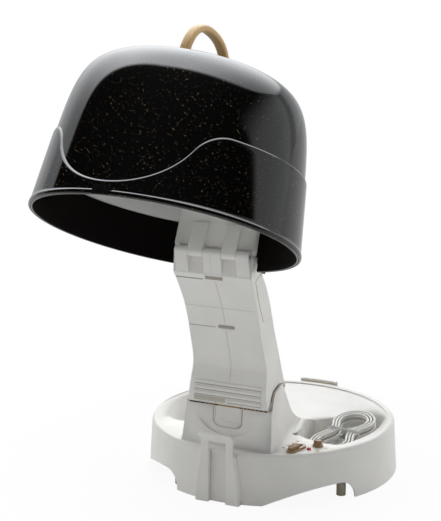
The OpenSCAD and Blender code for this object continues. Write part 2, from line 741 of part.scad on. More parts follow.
arm_top_line = [[-178, 319], [-184, 295]];
arm_front_line = curve([[-182.3, 292], [-177, 284], [-161, 254], [-152, 230], [-144, 204], [-136, 180], [-134.2, 165],
                        [-137.6, 150], [-140, 136], [-139.6, 126], [-138, 117.9]], 3);
arm_back_line = curve([[-85.2, 146], [-93, 173], [-100, 194], [-108, 214], [-115, 234], [-125, 257], [-138, 278],
                       [-152, 295]], 3);
arm_line = concat(arm_top_line, arm_front_line, [for (i = [3 : -1 : 1]) seam_line[i] + [0, arm_gap]],
                  [[-94, 141.8], [-84.5, 141.5]], arm_back_line);
arm_hollow_line = concat(arm_top_line, [for (q = arm_front_line) if (q.y > 130) q],
                         [[-139.8, 128], [-126, 134], [-118, 138.3], [-99, 143.3], [-87, 142.3]], arm_back_line);
arm_knuckles = [[-48, -31], [-10, 14], [34, 51]];
hood_knuckles = [[-30.6, -10.4], [14.4, 33.6]];

function arm_half(z) =
    arm_half_waist + (z > 222 ? arm_flare_top * pow((z - 222) / 103, 2) : arm_flare_foot * pow((222 - z) / 105, 2));
function arm_front(d) =
    concat([for (z = [112 : 11 : 332]) [arm_half(z) - d, z]], [for (z = [332 : -11 : 112]) [d - arm_half(z), z]]);

module arm_body(d)
    intersection() {
        side(d > 0 ? inset(arm_hollow_line, d) : arm_line, -60, 60);
        front(arm_front(d), -200, -60);
    }

// The whole arm before it is split down the middle into two shells.
module arm_whole()
    difference() {
        union() {
            arm_body(0);
            rod(fold_hinge, ear_r, -arm_half(fold_z), arm_half(fold_z));
            for (k = arm_knuckles)
                side(concat([[-184.3, 296.5], [-177, 300], [-174.5, 315.8]], arc(neck_hinge, knuckle_r, -10, 190, 16)),
                     k[0], k[1]);
            for (z = [125, 132, 138.5, 144.5]) rod([z < 135 ? -138.9 : -138.3 + (z - 138.5) * 0.1, z], 1.3, -48, 48, 24);
        }
        difference() {
            union() {
                arm_body(arm_wall);
                side([[-161.4, 292.8], [-150.6, 304.6], [-171, 325], [-176.4, 306.6]], -46, 46);
                side([[-122, 126], [-100, 138], [-100, 150], [-122, 150]], -46, 46);
            }
            rod(fold_hinge, ear_r, -lug_in + slide_fit, lug_in - slide_fit);
            side([[-178, 330], [-186, 290], [-176, 300], [-172, 316]], -52, 52);
        }
        for (s = [-1, 1])
            rod(fold_hinge, ear_clear, s > 0 ? lug_in - slide_fit : -lug_out - slide_fit,
                s > 0 ? lug_out + slide_fit : -lug_in + slide_fit);
        for (k = hood_knuckles) rod(neck_hinge, knuckle_r + 0.5, k[0] - 0.4, k[1] + 0.4);
        rod(neck_hinge, pin_r, -60, 60);
        rod(fold_hinge, pin_r + run_fit, -60, 60);
        back_panel(0);
        arm_grooves();
    }

// Two shallow grooves, each with a small window at its end, across the arm's front.
module arm_grooves() {
    side([[-195, 287.9], [-179.4, 287.9], [-180, 289.1], [-195, 289.1]], -54, -13);
    side([[-195, 289], [-179.6, 289], [-182, 294], [-195, 294]], -10, 14);
    side([[-165, 220.4], [-148.4, 220.4], [-148.8, 221.6], [-165, 221.6]], -52, -11);
    side([[-165, 221], [-148, 221], [-149.4, 225], [-165, 225]], -7, 15);
}

// The panel that closes the upper back of the arm and wraps onto its sides.
panel_line = [[-156.3, 295.2], [-169, 288.1], [-153.5, 255.6], [-140.9, 231.9], [-106, 231.9], [-106, 250],
              [-128, 286], [-142, 300], [-152.2, 295.2]];

module back_panel(d)
    difference() {
        side(d > 0 ? inset([for (i = [0 : 6]) panel_line[i]], d) : [for (i = [0 : 6]) panel_line[i]], -70, 70);
        arm_body(arm_wall / 2);
    }

module arm_left()
    color(ivory)
    intersection() {
        arm_whole();
        translate([-80, -220, 80]) cube([80, 200, 280]);
    }

module arm_right()
    color(ivory)
    intersection() {
        arm_whole();
        translate([0, -220, 80]) cube([80, 200, 280]);
    }

module arm_back_cover()
    color(ivory)
    difference() {
        intersection() {
            arm_body(0);
            back_panel(seat_fit);
        }
        arm_body(arm_wall / 2 - seat_fit);
    }

release_way = unit([10, -23]);

module hood_release()
    color([0.88, 0.87, 0.83])
    side([[-118.4, 243.2], [-114.9, 244.7], [-115.6, 246.6], [-117, 247.4], [-119.9, 253.3], [-122.3, 252.2]],
         -20, 20);

// ---------- hood ----------

// Radius of the dome's outside at height h, up to where the crown's cap begins.
function dome_side(h) = dome_r * (1 - dome_draft * h / dome_h) * pow(1 - pow(h / dome_h, 7.2), 1 / 6.2);
crown_r = 90;
crown_h = 188.7;
crown_big = 451;
crown_top = crown_h + crown_big - sqrt(crown_big * crown_big - crown_r * crown_r);
function crown(r) = crown_top - crown_big + sqrt(crown_big * crown_big - r * r);
dome_line = concat([for (h = [0, 17, 34, 51, 68, 88, 104, 118, 130, 141, 151, 160, 168, 174.5, 180, 184, 187])
                        [dome_side(h), h]],
                   [for (r = [crown_r : -15 : 0]) [r, crown(r)]]);

// An open line moved to its left by d, kept right of the axis.
function shifted(p, d) =
    let (last = len(p) - 1)
    [for (i = [0 : last])
        let (e0 = unit(p[max(i, 1)] - p[max(i, 1) - 1]), e1 = unit(p[min(i, last - 1) + 1] - p[min(i, last - 1)]),
             n0 = [-e0.y, e0.x], n1 = [-e1.y, e1.x], q = p[i] + d * (n0 + n1) / (1 + n0 * n1))
        [i == last ? 0 : max(q.x, 0), i == 0 ? p[0].y : q.y]];
function backwards(p) = [for (i = [len(p) - 1 : -1 : 0]) p[i]];

module dome_solid(d) rotate_extrude($fn = 144) polygon(concat([[0, 0]], shifted(dome_line, d)));

// The gap in dome and band through which the neck enters the hood.
module neck_gap()
    union() {
        translate([-55.8, 100, -1]) cube([111.6, 100, 18]);
        translate([-52.3, 100, -1]) cube([104.6, 100, 67.3]);
    }

module dome_shell()
    color(speckled_black)
    in_hood()
        difference() {
            rotate_extrude($fn = 144) polygon(concat(dome_line, backwards(shifted(dome_line, dome_wall))));
            neck_gap();
            for (y = handle_feet) translate([0, y, 150]) cylinder(r = 1.7, h = 60, $fn = 24);
        }

scoop_mid = band_low + scoop_r;
shoulder_mid = band_crest - scoop_shoulder;
shoulder_s = sqrt(pow(scoop_r + scoop_shoulder, 2) - pow(scoop_mid - shoulder_mid, 2));
tangent_s = shoulder_s * scoop_r / (scoop_r + scoop_shoulder);

// Height of the band's top edge at the distance s round the dome from its front.
function band_edge(s) =
    s < tangent_s ? scoop_mid - sqrt(scoop_r * scoop_r - s * s)
                  : shoulder_mid + sqrt(max(0, pow(scoop_shoulder, 2) - pow(s - shoulder_s, 2)));
function scoop_point(s) = [152 * sin(s / 152 * 180 / PI), band_edge(abs(s))];
scoop_line = [for (i = [-16 : 16]) scoop_point(shoulder_s * i / 16)];

module band_solid(d)
    rotate_extrude($fn = 144)
        polygon(concat([[0, 0], [bead_r + d, 0], [bead_r + d, bead_h - 0.8], [dome_side(bead_h) + band_proud + d, bead_h]],
                       [for (h = [17, 34, 51, 68, 80]) [dome_side(h) + band_proud + d, h]],
                       [[dome_side(86.4) + band_proud + d, band_crest - 1.6 + d],
                        [dome_side(88) + band_proud - 0.8 + d, band_crest + d], [0, band_crest + d]]));

module hood_band()
    color([0.07, 0.07, 0.08])
    in_hood()
        difference() {
            band_solid(0);
            dome_solid(-seat_fit);
            neck_gap();
            front(concat(scoop_line, [[shoulder_at, 100], [-shoulder_at, 100]]), -bead_r - 20, 0);
            translate([-10.9, -bead_r - 10, -1]) cube([21.8, 40, 12.3]);
        }
shoulder_at = scoop_point(shoulder_s).x;

module hood_clip()
    color([0.03, 0.03, 0.03])
    in_hood()
        difference() {
            intersection() {
                cylinder(r = bead_r + 0.3, h = 11, $fn = 144);
                front([[-10.6, 0], [10.6, 0], [10.6, 9.5], [9.1, 11], [-9.1, 11], [-10.6, 9.5]], -bead_r - 10, 30 - bead_r);
            }
            dome_solid(-seat_fit);
            for (x = [-7 : 3.5 : 7]) translate([x, -bead_r - 0.6, -1]) cylinder(r = 0.8, h = 20, $fn = 16);
        }

// ---------- air ceiling inside the hood ----------

ceiling_edge = dome_side(ceiling_h) - dome_wall - 0.4;
// A point of the ceiling, by its share of the dome's radius.
function inside(share, z) = [share * dome_r, z];
ceiling_line = concat([[ceiling_edge, ceiling_h], inside(0.919, ceiling_h), inside(0.9046, 56), inside(0.8902, 64),
                       inside(0.881, 76)],
                      curve([inside(0.8595, 98), inside(0.8105, 122), inside(0.7059, 141), inside(0.5229, 156),
                             inside(0.2745, ceiling_top - 3.2)], 3),
                      [inside(0.1438, ceiling_top - 0.8), [0, ceiling_top]]);
ceiling_outer = concat([[0, ceiling_top + 2], inside(0.1438, ceiling_top + 1.2)],
                       curve([inside(0.2771, ceiling_top - 1.2), inside(0.5294, 157.8), inside(0.715, 142.4),
                              inside(0.8216, 123), inside(0.8719, 98.6)], 3),
                       [inside(0.8941, 76.2), inside(0.9033, 64.3), inside(0.9176, 56.4), inside(0.9281, ceiling_h + 2),
                        [ceiling_edge, ceiling_h + 2]]);

module air_ceiling()
    color([0.86, 0.86, 0.84])
    in_hood()
        difference() {
            rotate_extrude($fn = 120) polygon(backwards(concat(ceiling_line, ceiling_outer)));
            translate([-52.6, hinge_back - 0.5, 0]) cube([105.2, 60, 66.8]);
            cylinder(r = air_hole_r, h = 200, $fn = 16);
            for (ring = [1 : air_rings], i = [0 : 6 * ring - 1])
                rotate([0, 0, 60 * i / ring + 15 * ring]) translate([18 * ring, 0, 100]) cylinder(r = air_hole_r, h = 90, $fn = 16);
        }

// ---------- neck between arm and hood ----------

neck_half = 52;
neck_out = dome_r + 13;
neck_box = concat([[hinge_back, 23], [hinge_back + 8.2, 15.2], [neck_out - 0.5, 4.6], [neck_out, 8], [neck_out, 50]],
                  arc([neck_out - 16, 50], 16, 15, 90, 6), [[hinge_back, 66]]);

module neck_duct()
    color(ivory)
    in_hood()
        difference() {
            union() {
                side(neck_box, -neck_half, neck_half);
                for (k = hood_knuckles)
                    side(concat(arc(neck_in_hood, knuckle_r, 180, 340, 12),
                                [for (q = [[5.2, 18], [1.2, 50], [-2.5, 50], [-6, 22]]) [hinge_back + q.x, q.y]]),
                         k[0], k[1]);
            }
            difference() {
                side(inset(neck_box, 2.4), -neck_half + 2.4, neck_half - 2.4);
                for (k = hood_knuckles) rod(neck_in_hood, knuckle_r, k[0], k[1]);
            }
            side([[hinge_back + 10.7, 8], [neck_out - 5, 0], [neck_out - 5, 20], [hinge_back + 11.7, 20]], -45, 45);
            intersection() {
                translate([-46, 100, 60])
                    cube([92, 60, 10]);
                difference() {
                    translate([0, 0, 55]) cylinder(r = ceiling_edge - 2, h = 20, $fn = 144);
                    cylinder(r = 0.8915 * dome_r, h = 90, $fn = 144);
                }
            }
            for (k = arm_knuckles) rod(neck_in_hood, knuckle_r + 0.5, k[0] - 0.4, k[1] + 0.4);
            rod(neck_in_hood, pin_r + run_fit, -60, 60);
        }

module neck_pin()
    color([0.70, 0.71, 0.73])
    rod(neck_hinge, pin_r, -47.5, 50.5);

// The dark shell over the bulge where the neck leaves the back of the hood.
module neck_cover()
    color([0.04, 0.04, 0.05])
    in_hood()
        difference() {
            side(concat([[neck_out - 26, 12.9], [neck_out + 2.6, 4.4], [neck_out + 3, 8], [neck_out + 3, 50]],
                        arc([neck_out - 16, 50], 19, 8, 90, 8), [[neck_out - 26, 69]]),
                 -neck_half - 2.6, neck_half + 2.6);
            side(concat([[neck_out - 66, 2], [neck_out + 0.2, 2], [neck_out + 0.2, 50]],
                        arc([neck_out - 16, 50], 16.2, 8, 90, 8), [[neck_out - 66, 66.2]]),
                 -neck_half - 0.2, neck_half + 0.2);
            band_solid(0.3);
        }

// ---------- handle ----------

handle_low = 188;
function arch(w, h) =
    [for (i = [0 : 32])
        let (a = 180 * i / 32)
        [handle_back + w * (cos(a) < 0 ? -1 : 1) * pow(abs(cos(a)), 1 / 1.2), handle_low + h * pow(sin(a), 1 / 1.2)]];
handle_feet = [handle_back - handle_half + handle_t / 2, handle_back + handle_half - handle_t / 2];

module handle()
    color([0.78, 0.66, 0.46])
    in_hood()
        difference() {
            union() {
                difference() {
                    side(arch(handle_half, handle_rise), -handle_w / 2, handle_w / 2);
                    side(arch(handle_half - handle_t, handle_rise - handle_t), -20, 20);
                }
                for (y = handle_feet)
                    translate([0, y, handle_low]) cylinder(r = handle_w / 2 + 1, h = 8, $fn = 48);
            }
            dome_solid(-seat_fit);
            for (y = handle_feet) translate([0, y, 150]) cylinder(r = 1.5, h = 56, $fn = 24);
        }

module hood_screws()
    color([0.72, 0.72, 0.74])
    in_hood()
        for (y = handle_feet)
            translate([0, y, crown(abs(y)) - dome_wall]) {
                translate([0, 0, -2.6]) cylinder(r = 3.6, h = 2, $fn = 32);
                translate([0, 0, -1]) cylinder(r = 1.4, h = 12, $fn = 24);
            }

// ---------- cord ----------

cord_ring = [[1.6, -1.5], [1.6, 1.5], [0, 3], [-1.6, 1.5], [-1.6, -1.5], [0, -3]];
cord_round = [[1.6, -1.4], [1.6, 1.4], [1.1, 2.6], [0, 3], [-1.1, 2.6], [-1.6, 1.4], [-1.6, -1.4], [-1.1, -2.6], [0, -3],
              [1.1, -2.6]];

// A flat cord on edge along the points p: s is its section, x across and y up.
module ribbon(p, s) {
    last = len(p) - 1;
    m = len(s);
    rings = [for (i = [0 : last])
                let (t = unit(p[min(i + 1, last)] - p[max(i - 1, 0)]), n = unit(cross(t, [0, 0, 1])), v = cross(n, t))
                for (q = s) p[i] + q.x * cord_t / 3.2 * n + q.y * cord_w / 6 * v];
    walls = [for (i = [0 : last - 1], k = [0 : m - 1])
                let (a = i * m + k, b = i * m + (k + 1) % m)
                each [[a, b, b + m], [a, b + m, a + m]]];
    caps = [for (k = [1 : m - 2]) each [[0, k + 1, k], [last * m, last * m + k, last * m + k + 1]]];
    polyhedron(points = rings, faces = concat(walls, caps), convexity = 10);
}

// The hank: loops round two turning points, drawn in where it is tied, one layer in and one layer out.
hank_loops = 6;
hank_near = [103, -42.5];
hank_far = [111, 12.5];
hank_mid = (hank_near + hank_far) / 2;
hank_span = norm(hank_far - hank_near);
hank_u = (hank_far - hank_near) / hank_span;
hank_n = [hank_u.y, -hank_u.x];
hank_inner = 16.2;
hank_step = 4.3;
hank_waist = 9;
hank_layer = 7.2;
hank_slope = 0.2;
hank_low = pocket_z + cord_w / 2 + 0.2 + hank_slope * (hank_span / 2 + hank_inner + 3 * hank_step);

function waist(s) = hank_waist * (1 + cos(360 * s / hank_span)) / 2;
function smooth(x) = let (c = min(1, max(0, x))) c * c * (3 - 2 * c);
function hank_r(t) = hank_inner + hank_step * abs(t - 3) - exp(-pow((t - 3) / 0.12, 2));

// Along the loop and across it: a share g of one loop, counted from the near turning point's far side.
function hank_sa(g, r) =
    g < 0.145 ? [-hank_span / 2 - r * cos(90 * g / 0.145), r * sin(90 * g / 0.145)]
    : g < 0.355 ? let (s = hank_span * ((g - 0.145) / 0.21 - 0.5)) [s, r - waist(s)]
    : g < 0.645 ? let (a = 180 * (g - 0.355) / 0.29) [hank_span / 2 + r * sin(a), r * cos(a)]
    : g < 0.855 ? let (s = hank_span * (0.5 - (g - 0.645) / 0.21)) [s, waist(s) - r]
    : let (a = 90 * (g - 0.855) / 0.145) [-hank_span / 2 - r * sin(a), -r * cos(a)];

function hank_at(t) =
    let (q = hank_sa(t - floor(t), hank_r(t)), p = hank_mid + q.x * hank_u + q.y * hank_n)
    [p.x, p.y, hank_low + hank_slope * q.x + hank_layer * smooth((t - 2.9) / 0.2)];

hank_turns = [for (i = [0 : 24 * hank_loops]) hank_at(i / 24)];
hank_in = unit(hank_at(0.02) - hank_at(0));
hank_out = unit(hank_at(hank_loops) - hank_at(hank_loops - 0.02));
hank_path = concat([hank_turns[0] - 4 * hank_in], hank_turns, [hank_turns[24 * hank_loops] + 4 * hank_out]);

// Clear distance between the cord at p and a stretch from a to b.
function clear_of(p, a, b) =
    let (d = [b.x - a.x, b.y - a.y], e = [p.x - a.x, p.y - a.y], t = min(1, max(0, e * d / (d * d))), q = a + (b - a) * t)
    max(norm([p.x - q.x, p.y - q.y]) - cord_t, abs(p.z - q.z) - cord_w);
hank_gap = min([for (i = [0 : len(hank_path) - 1], j = [i + 8 : 1 : len(hank_path) - 2])
                    clear_of(hank_path[i], hank_path[j], hank_path[j + 1])]);
function length(p) = let (d = [for (i = [1 : len(p) - 1]) norm(p[i] - p[i - 1])]) d * [for (x = d) 1];

module cord_hank()
    color([0.90, 0.89, 0.83])
    ribbon(hank_path, cord_ring);

grommet_at = [58, -47, pocket_z + 12];
module grommet_hole() translate([50, grommet_at.y, grommet_at.z]) rotate([0, 90, 0]) cylinder(r = 5, h = 14, $fn = 32);

module cord_grommet()
    color([0.86, 0.85, 0.80])
    difference() {
        translate([0, grommet_at.y, grommet_at.z])
            rotate([0, 90, 0]) {
                translate([0, 0, 53.8]) cylinder(r = 4.85, h = 8.6, $fn = 32);
                translate([0, 0, 60.4]) cylinder(r = 6.8, h = 2, $fn = 32);
                translate([0, 0, 53.8]) cylinder(r = 6.2, h = 1.6, $fn = 32);
            }
        translate([50, grommet_at.y - cord_t / 2 - 0.3, grommet_at.z - cord_w / 2 - 0.3])
            cube([20, cord_t + 0.6, cord_w + 0.6]);
    }

// A point at the height z over the pocket's floor.
function over_floor(p) = [for (q = p) [q.x, q.y, pocket_z + q.z]];
lead_path = curve(concat(over_floor([[55, -47, 12], [61, -47, 12], [66, -48.2, 11.4], [73, -54.2, 8.6], [80.5, -62, 5.6],
                                     [88, -67.2, 3.8]]),
                         [hank_path[0] - 4 * hank_in, hank_path[0] - 0.2 * hank_in]), 3);

module cord_lead()
    color([0.90, 0.89, 0.83])
    ribbon(lead_path, cord_round);

plug_at = [107.4, 17];
plug_turn = atan2(hank_u.y, hank_u.x) - 90;
plug_z = pocket_z + 9.6;
plug_back = plug_at + 16 * hank_u;
end_path = curve(concat([hank_path[len(hank_path) - 1], hank_path[len(hank_path) - 1] + 3 * hank_out],
                        over_floor([[109.8, -72.2, 11], [121.9, -68, 11], [131.6, -58, 10.5], [135.8, -44, 9.6],
                         [137.8, -28, 9], [139.4, -8, 9], [140.2, 12, 9], [140, 27, 9], [136.8, 38.4, 9], [129, 45.4, 9],
                         [119.6, 45.6, 9.2]]),
                        [for (d = [8.5, 3.5, 0.1]) [(plug_back + d * hank_u).x + (d > 8 ? 1.2 : 0), (plug_back + d * hank_u).y, plug_z]]), 2);

module cord_end()
    color([0.90, 0.89, 0.83])
    ribbon(end_path, cord_round);

module cord_plug()
    color([0.90, 0.89, 0.83])
    translate([plug_at.x, plug_at.y, plug_z]) rotate([0, 0, plug_turn]) {
        front([[-7.5, -9.4], [7.5, -9.4], [10, -6.5], [10, 6.5], [7.5, 9.4], [-7.5, 9.4], [-10, 6.5], [-10, -6.5]], -11, 9);
        translate([0, 9, 0]) rotate([-90, 0, 0]) cylinder(r1 = 7.5, r2 = 4.2, h = 7, $fn = 32);
        for (x = [-6.35, 6.35]) translate([x - 0.75, -26, -3.2]) cube([1.5, 15.5, 6.4]);
    }

tie_half = hank_inner + 3 * hank_step - hank_waist + cord_t / 2 + 0.7;
module cord_tie()
    color([0.93, 0.93, 0.90])
    translate([hank_mid.x, hank_mid.y, hank_low + hank_layer / 2])
        rotate([0, 0, plug_turn])
            rotate([90, 0, 0])
                translate([0, 0, -1.4])
                    linear_extrude(2.8)
                        difference() {
                            square([2 * tie_half + 2.4, hank_layer + cord_w + 4.2], center = true);
                            square([2 * tie_half, hank_layer + cord_w + 1.8], center = true);
                        }

echo(hank_gap = hank_gap, hank_length = length(hank_path), lead = length(lead_path), end = length(end_path));

base_shell();
base_pan();
rubber_feet();
front_catch();
rear_rest();
latch_button();
latch_spring();
scroll_housing();
scroll_lid();
air_duct();
motor();
motor_bracket();
impeller();
heater_frame();
heater_coils();
thermostat();
switch_bezel();
switch_body();
slide_knob();
mode_knob();
mode_switch();
indicator_lens();
base_screws();
fold_pin();
arm_left();
arm_right();
arm_back_cover();
hood_release();
neck_pin();
neck_duct();
neck_cover();
dome_shell();
hood_band();
hood_clip();
air_ceiling();
handle();
hood_screws();
cord_grommet();
cord_lead();
cord_hank();
cord_end();
cord_tie();
cord_plug();
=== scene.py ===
"""Fold-away hood hair dryer: the moulded base, the air arm and the speckled hood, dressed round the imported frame."""

import json
import math

import bmesh
import bpy
from mathutils import Matrix, Vector
from mathutils.bvhtree import BVHTree


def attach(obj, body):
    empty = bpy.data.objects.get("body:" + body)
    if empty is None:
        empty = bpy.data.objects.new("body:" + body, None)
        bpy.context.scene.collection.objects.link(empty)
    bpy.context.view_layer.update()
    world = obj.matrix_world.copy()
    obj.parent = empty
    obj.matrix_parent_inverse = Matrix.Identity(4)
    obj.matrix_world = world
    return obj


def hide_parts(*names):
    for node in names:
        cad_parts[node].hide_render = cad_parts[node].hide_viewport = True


MM = 0.001
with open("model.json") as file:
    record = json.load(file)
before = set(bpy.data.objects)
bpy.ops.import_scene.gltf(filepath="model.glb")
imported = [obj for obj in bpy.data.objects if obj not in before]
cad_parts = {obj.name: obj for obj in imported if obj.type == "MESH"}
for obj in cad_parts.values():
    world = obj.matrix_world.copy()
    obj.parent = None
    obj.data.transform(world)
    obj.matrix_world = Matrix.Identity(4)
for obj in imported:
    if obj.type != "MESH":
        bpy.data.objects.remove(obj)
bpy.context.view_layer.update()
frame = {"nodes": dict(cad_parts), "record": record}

# ---------- the hood's own frame ----------

HOOD_TILT = 26.2
HOOD = Matrix.Translation((0, -0.302056, 0.36498)) @ Matrix.Rotation(math.radians(-HOOD_TILT), 4, "X")


# ---------- finishes ----------


def shader(name):
    """A new finish with its shader, and the piece's own coordinates to draw patterns on."""
    finish = bpy.data.materials.new(name)
    finish.use_nodes = True
    tree = finish.node_tree
    gloss = tree.nodes["Principled BSDF"]
    where = tree.nodes.new("ShaderNodeTexCoord").outputs["Object"]
    return finish, tree, gloss, where


def noise(tree, where, per_metre, detail=2.0):
    node = tree.nodes.new("ShaderNodeTexNoise")
    node.inputs["Scale"].default_value = per_metre
    node.inputs["Detail"].default_value = detail
    tree.links.new(where, node.inputs["Vector"])
    return node.outputs["Fac"]


def ramp(tree, amount, stops):
    node = tree.nodes.new("ShaderNodeValToRGB")
    band = node.color_ramp
    while len(band.elements) < len(stops):
        band.elements.new(0.5)
    for element, (place, colour) in zip(band.elements, stops):
        element.position = place
        element.color = (*colour, 1)
    tree.links.new(amount, node.inputs["Fac"])
    return node.outputs["Color"]


def math_of(tree, what, a, b):
    node = tree.nodes.new("ShaderNodeMath")
    node.operation = what
    for socket, value in zip(node.inputs, (a, b)):
        if isinstance(value, (int, float)):
            socket.default_value = value
        else:
            tree.links.new(value, socket)
    return node.outputs[0]


def bumps(tree, gloss, height, depth_mm, strength=1.0):
    node = tree.nodes.new("ShaderNodeBump")
    node.inputs["Strength"].default_value = strength
    node.inputs["Distance"].default_value = depth_mm * MM
    tree.links.new(height, node.inputs["Height"])
    tree.links.new(node.outputs["Normal"], gloss.inputs["Normal"])
    return node


def shade(colour, share):
    return tuple(min(1, c * share) for c in colour)


def moulded(name, colour, rough, grain_mm=0.35, depth_mm=0.012, mottle=0.04, coat=0.0, shine=0.5, soft_mm=0.0):
    """Moulded plastic: a faint mottle in the colour, a fine grain, handling marks in the gloss, soft edges."""
    finish, tree, gloss, where = shader(name)
    clouds = noise(tree, where, 22, 4)
    tree.links.new(
        ramp(tree, clouds, [(0.3, shade(colour, 1 - mottle)), (0.7, shade(colour, 1 + mottle / 2))]),
        gloss.inputs["Base Color"],
    )
    marks = noise(tree, where, 60, 6)
    spread = math_of(tree, "MULTIPLY", marks, rough * 0.5)
    tree.links.new(math_of(tree, "ADD", spread, rough * 0.75), gloss.inputs["Roughness"])
    grain = bumps(tree, gloss, noise(tree, where, 1000 / grain_mm, 2), depth_mm)
    if soft_mm:
        eased = tree.nodes.new("ShaderNodeBevel")
        eased.inputs["Radius"].default_value = soft_mm * MM
        tree.links.new(eased.outputs[0], grain.inputs["Normal"])
    gloss.inputs["Specular IOR Level"].default_value = shine
    gloss.inputs["Coat Weight"].default_value = coat
    gloss.inputs["Coat Roughness"].default_value = 0.12
    return finish


def flakes(tree, where, cell_mm, size, keep):
    """Little flakes strewn through the plastic: one in each cell, of which a share shows."""
    node = tree.nodes.new("ShaderNodeTexVoronoi")
    node.inputs["Scale"].default_value = 1000 / cell_mm
    tree.links.new(where, node.inputs["Vector"])
    near = math_of(tree, "LESS_THAN", node.outputs["Distance"], size)
    split = tree.nodes.new("ShaderNodeSeparateColor")
    tree.links.new(node.outputs["Color"], split.inputs[0])
    chosen = math_of(tree, "LESS_THAN", split.outputs[0], keep)
    bright = math_of(tree, "MULTIPLY", near, chosen)
    return math_of(tree, "MULTIPLY", bright, math_of(tree, "ADD", split.outputs[1], 0.25))


def speckled(name, ground, flake, rough):
    """Glossy black with gold flakes under the surface."""
    finish, tree, gloss, where = shader(name)
    big = flakes(tree, where, 3.4, 0.082, 0.55)
    small = math_of(tree, "MULTIPLY", flakes(tree, where, 1.8, 0.12, 0.5), 0.4)
    both = math_of(tree, "MAXIMUM", big, small)
    tree.links.new(ramp(tree, both, [(0.0, ground), (1.0, flake)]), gloss.inputs["Base Color"])
    marks = noise(tree, where, 30, 5)
    spread = math_of(tree, "MULTIPLY", marks, rough * 0.6)
    tree.links.new(math_of(tree, "ADD", spread, rough * 0.7), gloss.inputs["Roughness"])
    return finish


def metal(name, colour, rough, brushed=0.0):
    finish, tree, gloss, where = shader(name)
    gloss.inputs["Metallic"].default_value = 1.0
    clouds = noise(tree, where, 90, 5)
    tree.links.new(
        ramp(tree, clouds, [(0.3, shade(colour, 0.88)), (0.7, colour)]), gloss.inputs["Base Color"]
    )
    spread = math_of(tree, "MULTIPLY", clouds, rough * 0.8)
    tree.links.new(math_of(tree, "ADD", spread, rough * 0.6), gloss.inputs["Roughness"])
    if brushed:
        turned = tree.nodes.new("ShaderNodeMapping")
        turned.inputs["Scale"].default_value = (40, 4000, 4000)
        tree.links.new(where, turned.inputs["Vector"])
        bumps(tree, gloss, noise(tree, turned.outputs[0], 1, 2), brushed)
    return finish


def lens_red(name):
    finish, tree, gloss, where = shader(name)
    clouds = noise(tree, where, 800, 2)
    tree.links.new(
        ramp(tree, clouds, [(0.35, (0.42, 0.006, 0.02)), (0.65, (0.62, 0.012, 0.03))]),
        gloss.inputs["Base Color"],
    )
    gloss.inputs["Roughness"].default_value = 0.12
    gloss.inputs["Coat Weight"].default_value = 0.8
    return finish


IVORY = (0.90, 0.872, 0.822)
finishes = {
    "ivory_body": moulded("ivory gloss plastic", IVORY, 0.45, shine=0.2, soft_mm=1.0),
    "ivory_trim": moulded("ivory satin plastic", (0.88, 0.852, 0.795), 0.5, shine=0.2, soft_mm=0.7),
    "pan_plastic": moulded("pan plastic", (0.66, 0.65, 0.61), 0.5, grain_mm=0.6, depth_mm=0.03),
    "foot_rubber": moulded("foot rubber", (0.42, 0.365, 0.28), 0.75, grain_mm=0.5, depth_mm=0.04, mottle=0.12),
    "bright_steel": metal("bright steel", (0.62, 0.62, 0.63), 0.25, brushed=0.01),
    "motor_steel": metal("motor steel", (0.42, 0.42, 0.43), 0.4, brushed=0.02),
    "fan_plastic": moulded("fan plastic", (0.05, 0.05, 0.055), 0.5),
    "mica": moulded("mica board", (0.58, 0.50, 0.32), 0.35, grain_mm=1.5, depth_mm=0.03, mottle=0.2),
    "dark_plastic": moulded("dark plastic", (0.006, 0.006, 0.006), 0.3, mottle=0.1, shine=0.3),
    "bronze_plastic": moulded("bronze plastic", (0.36, 0.22, 0.10), 0.35, mottle=0.15, soft_mm=0.4),
    "red_lens": lens_red("red lens"),
    "speckled_black": speckled("speckled black", (0.0022, 0.0018, 0.0015), (0.95, 0.70, 0.32), 0.06),
    "ceiling_plastic": moulded("ceiling plastic", (0.60, 0.60, 0.57), 0.42, grain_mm=0.5, depth_mm=0.02),
    "tan_plastic": moulded("tan plastic", (0.80, 0.52, 0.23), 0.4, mottle=0.06, shine=0.3),
    "cord_cover": moulded("cord cover", (0.76, 0.745, 0.70), 0.4, grain_mm=0.5, depth_mm=0.01),
    "tie_plastic": moulded("tie plastic", (0.80, 0.79, 0.76), 0.3, coat=0.2),
}
# painted shade: the dark inside a gap, used for the front seam and the knob's ring
painted_gap_shade = moulded("painted shade of a gap", (0.035, 0.02, 0.008), 0.7, mottle=0.1)
gap_gold = moulded("gold dashes in a gap", (0.42, 0.27, 0.09), 0.6, mottle=0.15)
# painted shade: the tan look of the shaded gap in a seam
seam_shade_tan = moulded("painted tan shade of a seam", (0.46, 0.33, 0.19), 0.6, mottle=0.1)
# painted shade: the dark inside a groove
groove_shade_grey = moulded("shade of a groove", (0.36, 0.34, 0.28), 0.6)
# painted shade: the shade under a rib or in a thin groove
rib_shade_grey = moulded("shade under a rib", (0.52, 0.50, 0.44), 0.6)
# painted shade: the shade along a fine moulded line
fine_line_shade_grey = moulded("shade of a fine line", (0.56, 0.54, 0.49), 0.6)
gold_print = moulded("gold print", (0.50, 0.33, 0.15), 0.4, grain_mm=0.2, depth_mm=0.01, mottle=0.12)
hood_lining = moulded("brown-black hood lining", (0.0035, 0.0022, 0.0018), 0.5, mottle=0.15, shine=0.06)

slot_of = {entry["node"]: entry["material_slot"] for entry in frame["record"]["subparts"]}
for part, thing in frame["nodes"].items():
    thing.data.materials.clear()
    thing.data.materials.append(finishes[slot_of.get(part, "ivory_body")])


# ---------- making pieces ----------


